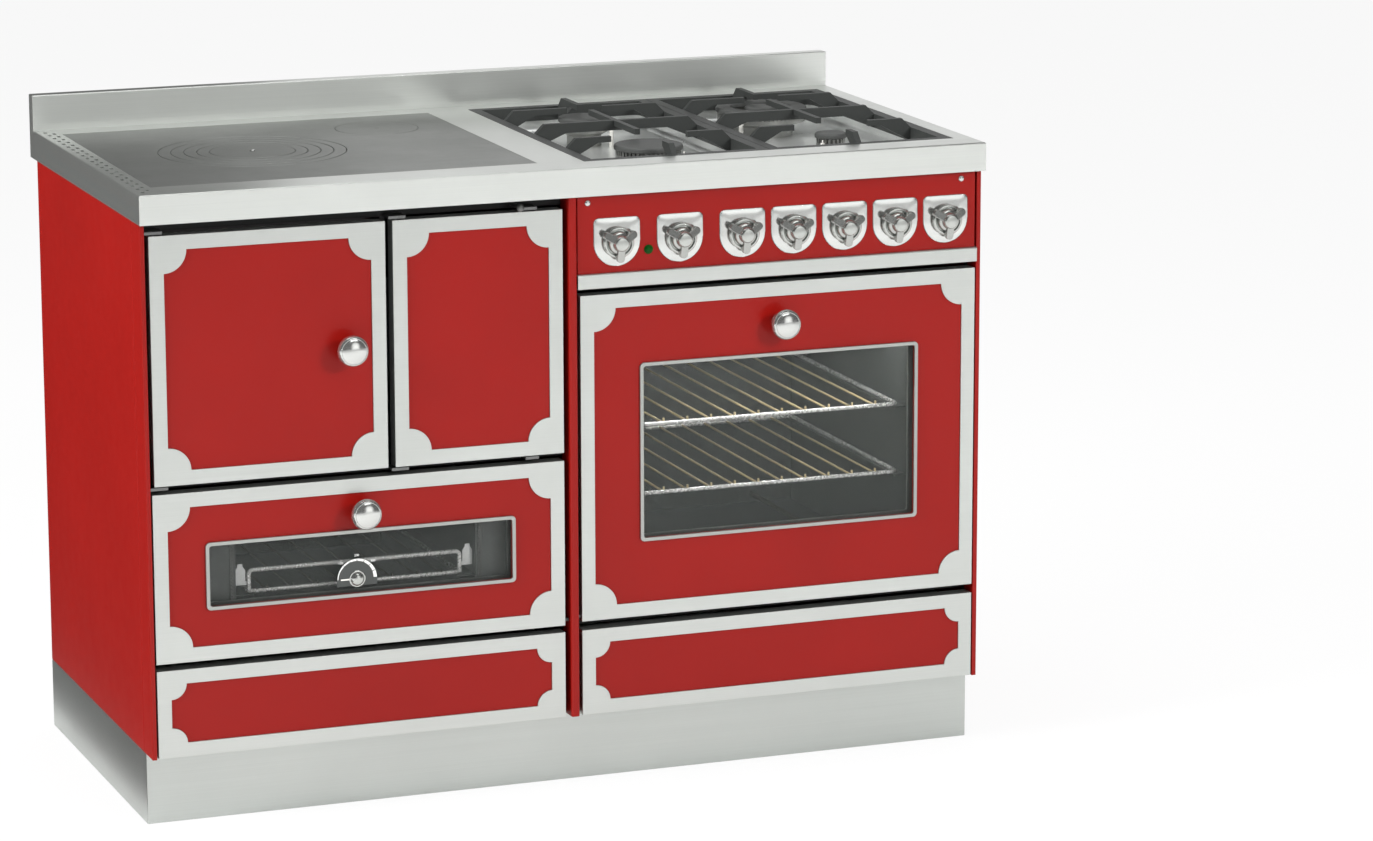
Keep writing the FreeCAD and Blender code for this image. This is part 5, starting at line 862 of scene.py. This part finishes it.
RACK_WIDTH, RACK_HEIGHTS, RACKS_BODY = 380.0, (394.5, 491.0), body_of["oven_racks"]
frames = [rack_frame(OVEN_MID, RACK_WIDTH, z) for z in RACK_HEIGHTS]
finished("oven_racks_bent", joined(frames), RACKS_BODY, "chrome_wire", ("oven_racks",), 0)
bars = [bar for z in RACK_HEIGHTS for bar in rack_bars(OVEN_MID, RACK_WIDTH, z)]
# The right oven's bars are given a golden colour.
finished("oven_racks_bars", joined(bars), RACKS_BODY, "chrome_wire", edge=0, look="golden_wire")
SHELF_Z, RAIL_Z, SHELF_HALF = 308.0, 337.0, 148.0
guard = [(WOOD_MID - SHELF_HALF, RACK_FRONT, SHELF_Z), (WOOD_MID - SHELF_HALF, RACK_FRONT, RAIL_Z),
         (WOOD_MID + SHELF_HALF, RACK_FRONT, RAIL_Z), (WOOD_MID + SHELF_HALF, RACK_FRONT, SHELF_Z)]
shelf = [rack_frame(WOOD_MID, 2 * SHELF_HALF, SHELF_Z), bent_rod(guard, WIRE_R, RAIL_BEND)]
finished("wood_oven_shelf_bent", joined(shelf), RACKS_BODY, "chrome_wire", edge=0)
# The left oven's bars take the dark finish of the heating elements as painted shade.
shelf_bars = joined(rack_bars(WOOD_MID, 2 * SHELF_HALF, SHELF_Z))
finished("wood_oven_shelf_bars", shelf_bars, RACKS_BODY, "chrome_wire", edge=0, look="element_sheath")
print(len(frames), "racks and the shelf bent")

# %% Cut the two holders of the guard rail
HOLDER_W, HOLDER_H, HOLDER_T, HOLDER_OUT, HOLDER_LIFT, TAB_H = 14.0, 29.0, 2.0, 11.5, 9.0, 5.0
SHOULDER_H, NECK_FOOT_H, NECK_W = 0.7 * HOLDER_H, 0.88 * HOLDER_H, HOLDER_W / 2


def holder(side):
    """A flat bottle-shaped plate with a tab at its foot, drawn as one outline and given its thickness."""
    middle, foot = WOOD_MID + side * (SHELF_HALF + HOLDER_OUT), SHELF_Z + HOLDER_LIFT
    half, neck = HOLDER_W / 2, NECK_W / 2
    outline = [(-HOLDER_OUT, 0), (half, 0), (half, SHOULDER_H), (neck, NECK_FOOT_H), (neck, HOLDER_H),
               (-neck, HOLDER_H), (-neck, NECK_FOOT_H), (-half, SHOULDER_H), (-half, TAB_H),
               (-HOLDER_OUT, TAB_H)]
    bm = bmesh.new()
    corners = [Vector((middle + side * x, RACK_FRONT, foot + z)) * MM for x, z in outline]
    face = bm.faces.new([bm.verts.new(corner) for corner in corners])
    grown = bmesh.ops.extrude_face_region(bm, geom=[face])["geom"]
    moved = [part for part in grown if isinstance(part, bmesh.types.BMVert)]
    bmesh.ops.translate(bm, verts=moved, vec=Vector((0, HOLDER_T, 0)) * MM)
    bmesh.ops.recalc_face_normals(bm, faces=bm.faces)
    return bm


holders = joined([holder(-1), holder(1)])
finished("guard_rail_holders", holders, RACKS_BODY, "chrome_wire", edge=0.3, look="white_lacquer")
print("two holders cut")

# %% [markdown]
# ## Thermometer
#
# The dial is a half-round scale behind the pointer. The scale is paint, not shape, so it is drawn by the
# shader: the distance from the axis makes the band, and the angle makes it wider to the right and cuts the
# ticks. The hub is a polished dome, and the pointer a thin white strip. The numbers are a thin layer of
# paint on the glass: Blender's own letters give their shape.

# %% Paint the scale
DIAL = Vector((-309.65, -285.9, 320.4))
SCALE_R, SCALE_THIN, SCALE_WIDE, RIM_LINE, TICKS, TICK_HALF = 27.4, 1.0, 4.6, 0.8, 8, 0.06
SCALE_WHITE = (0.80, 0.81, 0.78, 1)


def painted_scale():
    face = smooth_coat("dial scale", (0.045, 0.050, 0.047), 0.35, 260.0, 0.8)
    split = {"Vector": face.place}
    across = face.add("ShaderNodeSeparateXYZ", {}, split, "X") * (1 / MM) - DIAL.x
    upward = face.add("ShaderNodeSeparateXYZ", {}, split, "Z") * (1 / MM) - DIAL.z
    reach = (across * across + upward * upward) ** 0.5
    angle = face.maths("ARCTAN2", upward, across)
    width = SCALE_WIDE - (SCALE_WIDE - SCALE_THIN) * angle / pi
    band = reach.under(SCALE_R) * reach.over(SCALE_R - width) * upward.over(0.0)
    tick = face.maths("PINGPONG", angle * (TICKS / pi), 0.5).under(TICK_HALF)
    paint = band * (1 - tick * reach.under(SCALE_R - RIM_LINE))
    face.feed("Base Color", face.mix(paint, face.colour, SCALE_WHITE))
    return face


FINISHES["dial_face"] = painted_scale()
dial = merged("thermometer_dial")
finished("thermometer_scale", dial, body_of["thermometer_dial"], "dial_face", ("thermometer_dial",), 0.2)
print("scale painted")

# %% Turn the hub and cut the pointer
HUB = [(1.6, 0), (11.5, 0), (11.5, 0.5), (10.9, 0.9), (9.6, 0.9), (9.2, 1.2), (8.4, 2.6), (6.8, 3.9),
       (4.6, 4.8), (2.2, 5.3), (0, 5.4)]
hub_place = DIAL + Vector((0, -0.3, 0))
hub = turned(HUB, hub_place, FORWARD, 40)
pointer_body = body_of["thermometer_pointer"]
finished("thermometer_hub", hub, pointer_body, "knob_satin_chrome", ("thermometer_pointer",), 0)
POINTER_TIP, POINTER_FOOT, POINTER_W, POINTER_T = 23.0, 9.0, 2.0, 0.8
strip = bmesh.new()
bmesh.ops.create_cube(strip, size=1.0)
bmesh.ops.scale(strip, verts=strip.verts, vec=Vector((POINTER_TIP - POINTER_FOOT, POINTER_T, POINTER_W)) * MM)
place = hub_place - Vector(((POINTER_TIP + POINTER_FOOT) / 2, POINTER_T / 2, 0))
bmesh.ops.translate(strip, verts=strip.verts, vec=place * MM)
finished("thermometer_needle", strip, pointer_body, "ceramic", edge=0.15)
print("hub and pointer made")

# %% Print the numbers of the dial
NUMBER_SIZE, NUMBER_R, NUMBER_T, NUMBER_STEP, DIAL_RANGE = 4.6, 32.0, 0.06, 100, 400
NUMBER_Y = box_mm("wood_oven_door_glass")[0].y - NUMBER_T


def number(value):
    """A number as a thin solid, upright, with its middle at its place on the arc."""
    text = bpy.data.curves.new("number", "FONT")
    text.body, text.size, text.extrude = str(value), NUMBER_SIZE * MM, NUMBER_T * MM
    text.align_x, text.align_y = "CENTER", "CENTER"
    carrier = bpy.data.objects.new("number", text)
    bpy.context.scene.collection.objects.link(carrier)
    flat = bpy.data.meshes.new_from_object(carrier.evaluated_get(bpy.context.evaluated_depsgraph_get()))
    bpy.data.objects.remove(carrier)
    bm = bmesh.new()
    bm.from_mesh(flat)
    bpy.data.meshes.remove(flat)
    bmesh.ops.remove_doubles(bm, verts=bm.verts, dist=0.001 * MM)
    angle = pi * (1 - value / DIAL_RANGE)
    place = DIAL + NUMBER_R * Vector((cos(angle), 0, sin(angle)))
    place.y = NUMBER_Y
    upright = Matrix.Rotation(pi / 2, 4, "X")
    bmesh.ops.transform(bm, matrix=Matrix.Translation(place * MM) @ upright, verts=bm.verts)
    bmesh.ops.recalc_face_normals(bm, faces=bm.faces)
    return bm


values = range(NUMBER_STEP, DIAL_RANGE, NUMBER_STEP)
numbers = joined([number(value) for value in values])
dial_body = body_of["thermometer_dial"]
finished("thermometer_numbers", numbers, dial_body, "dial_face", edge=0, look="white_lacquer")
print("numbers on the dial:", list(values))
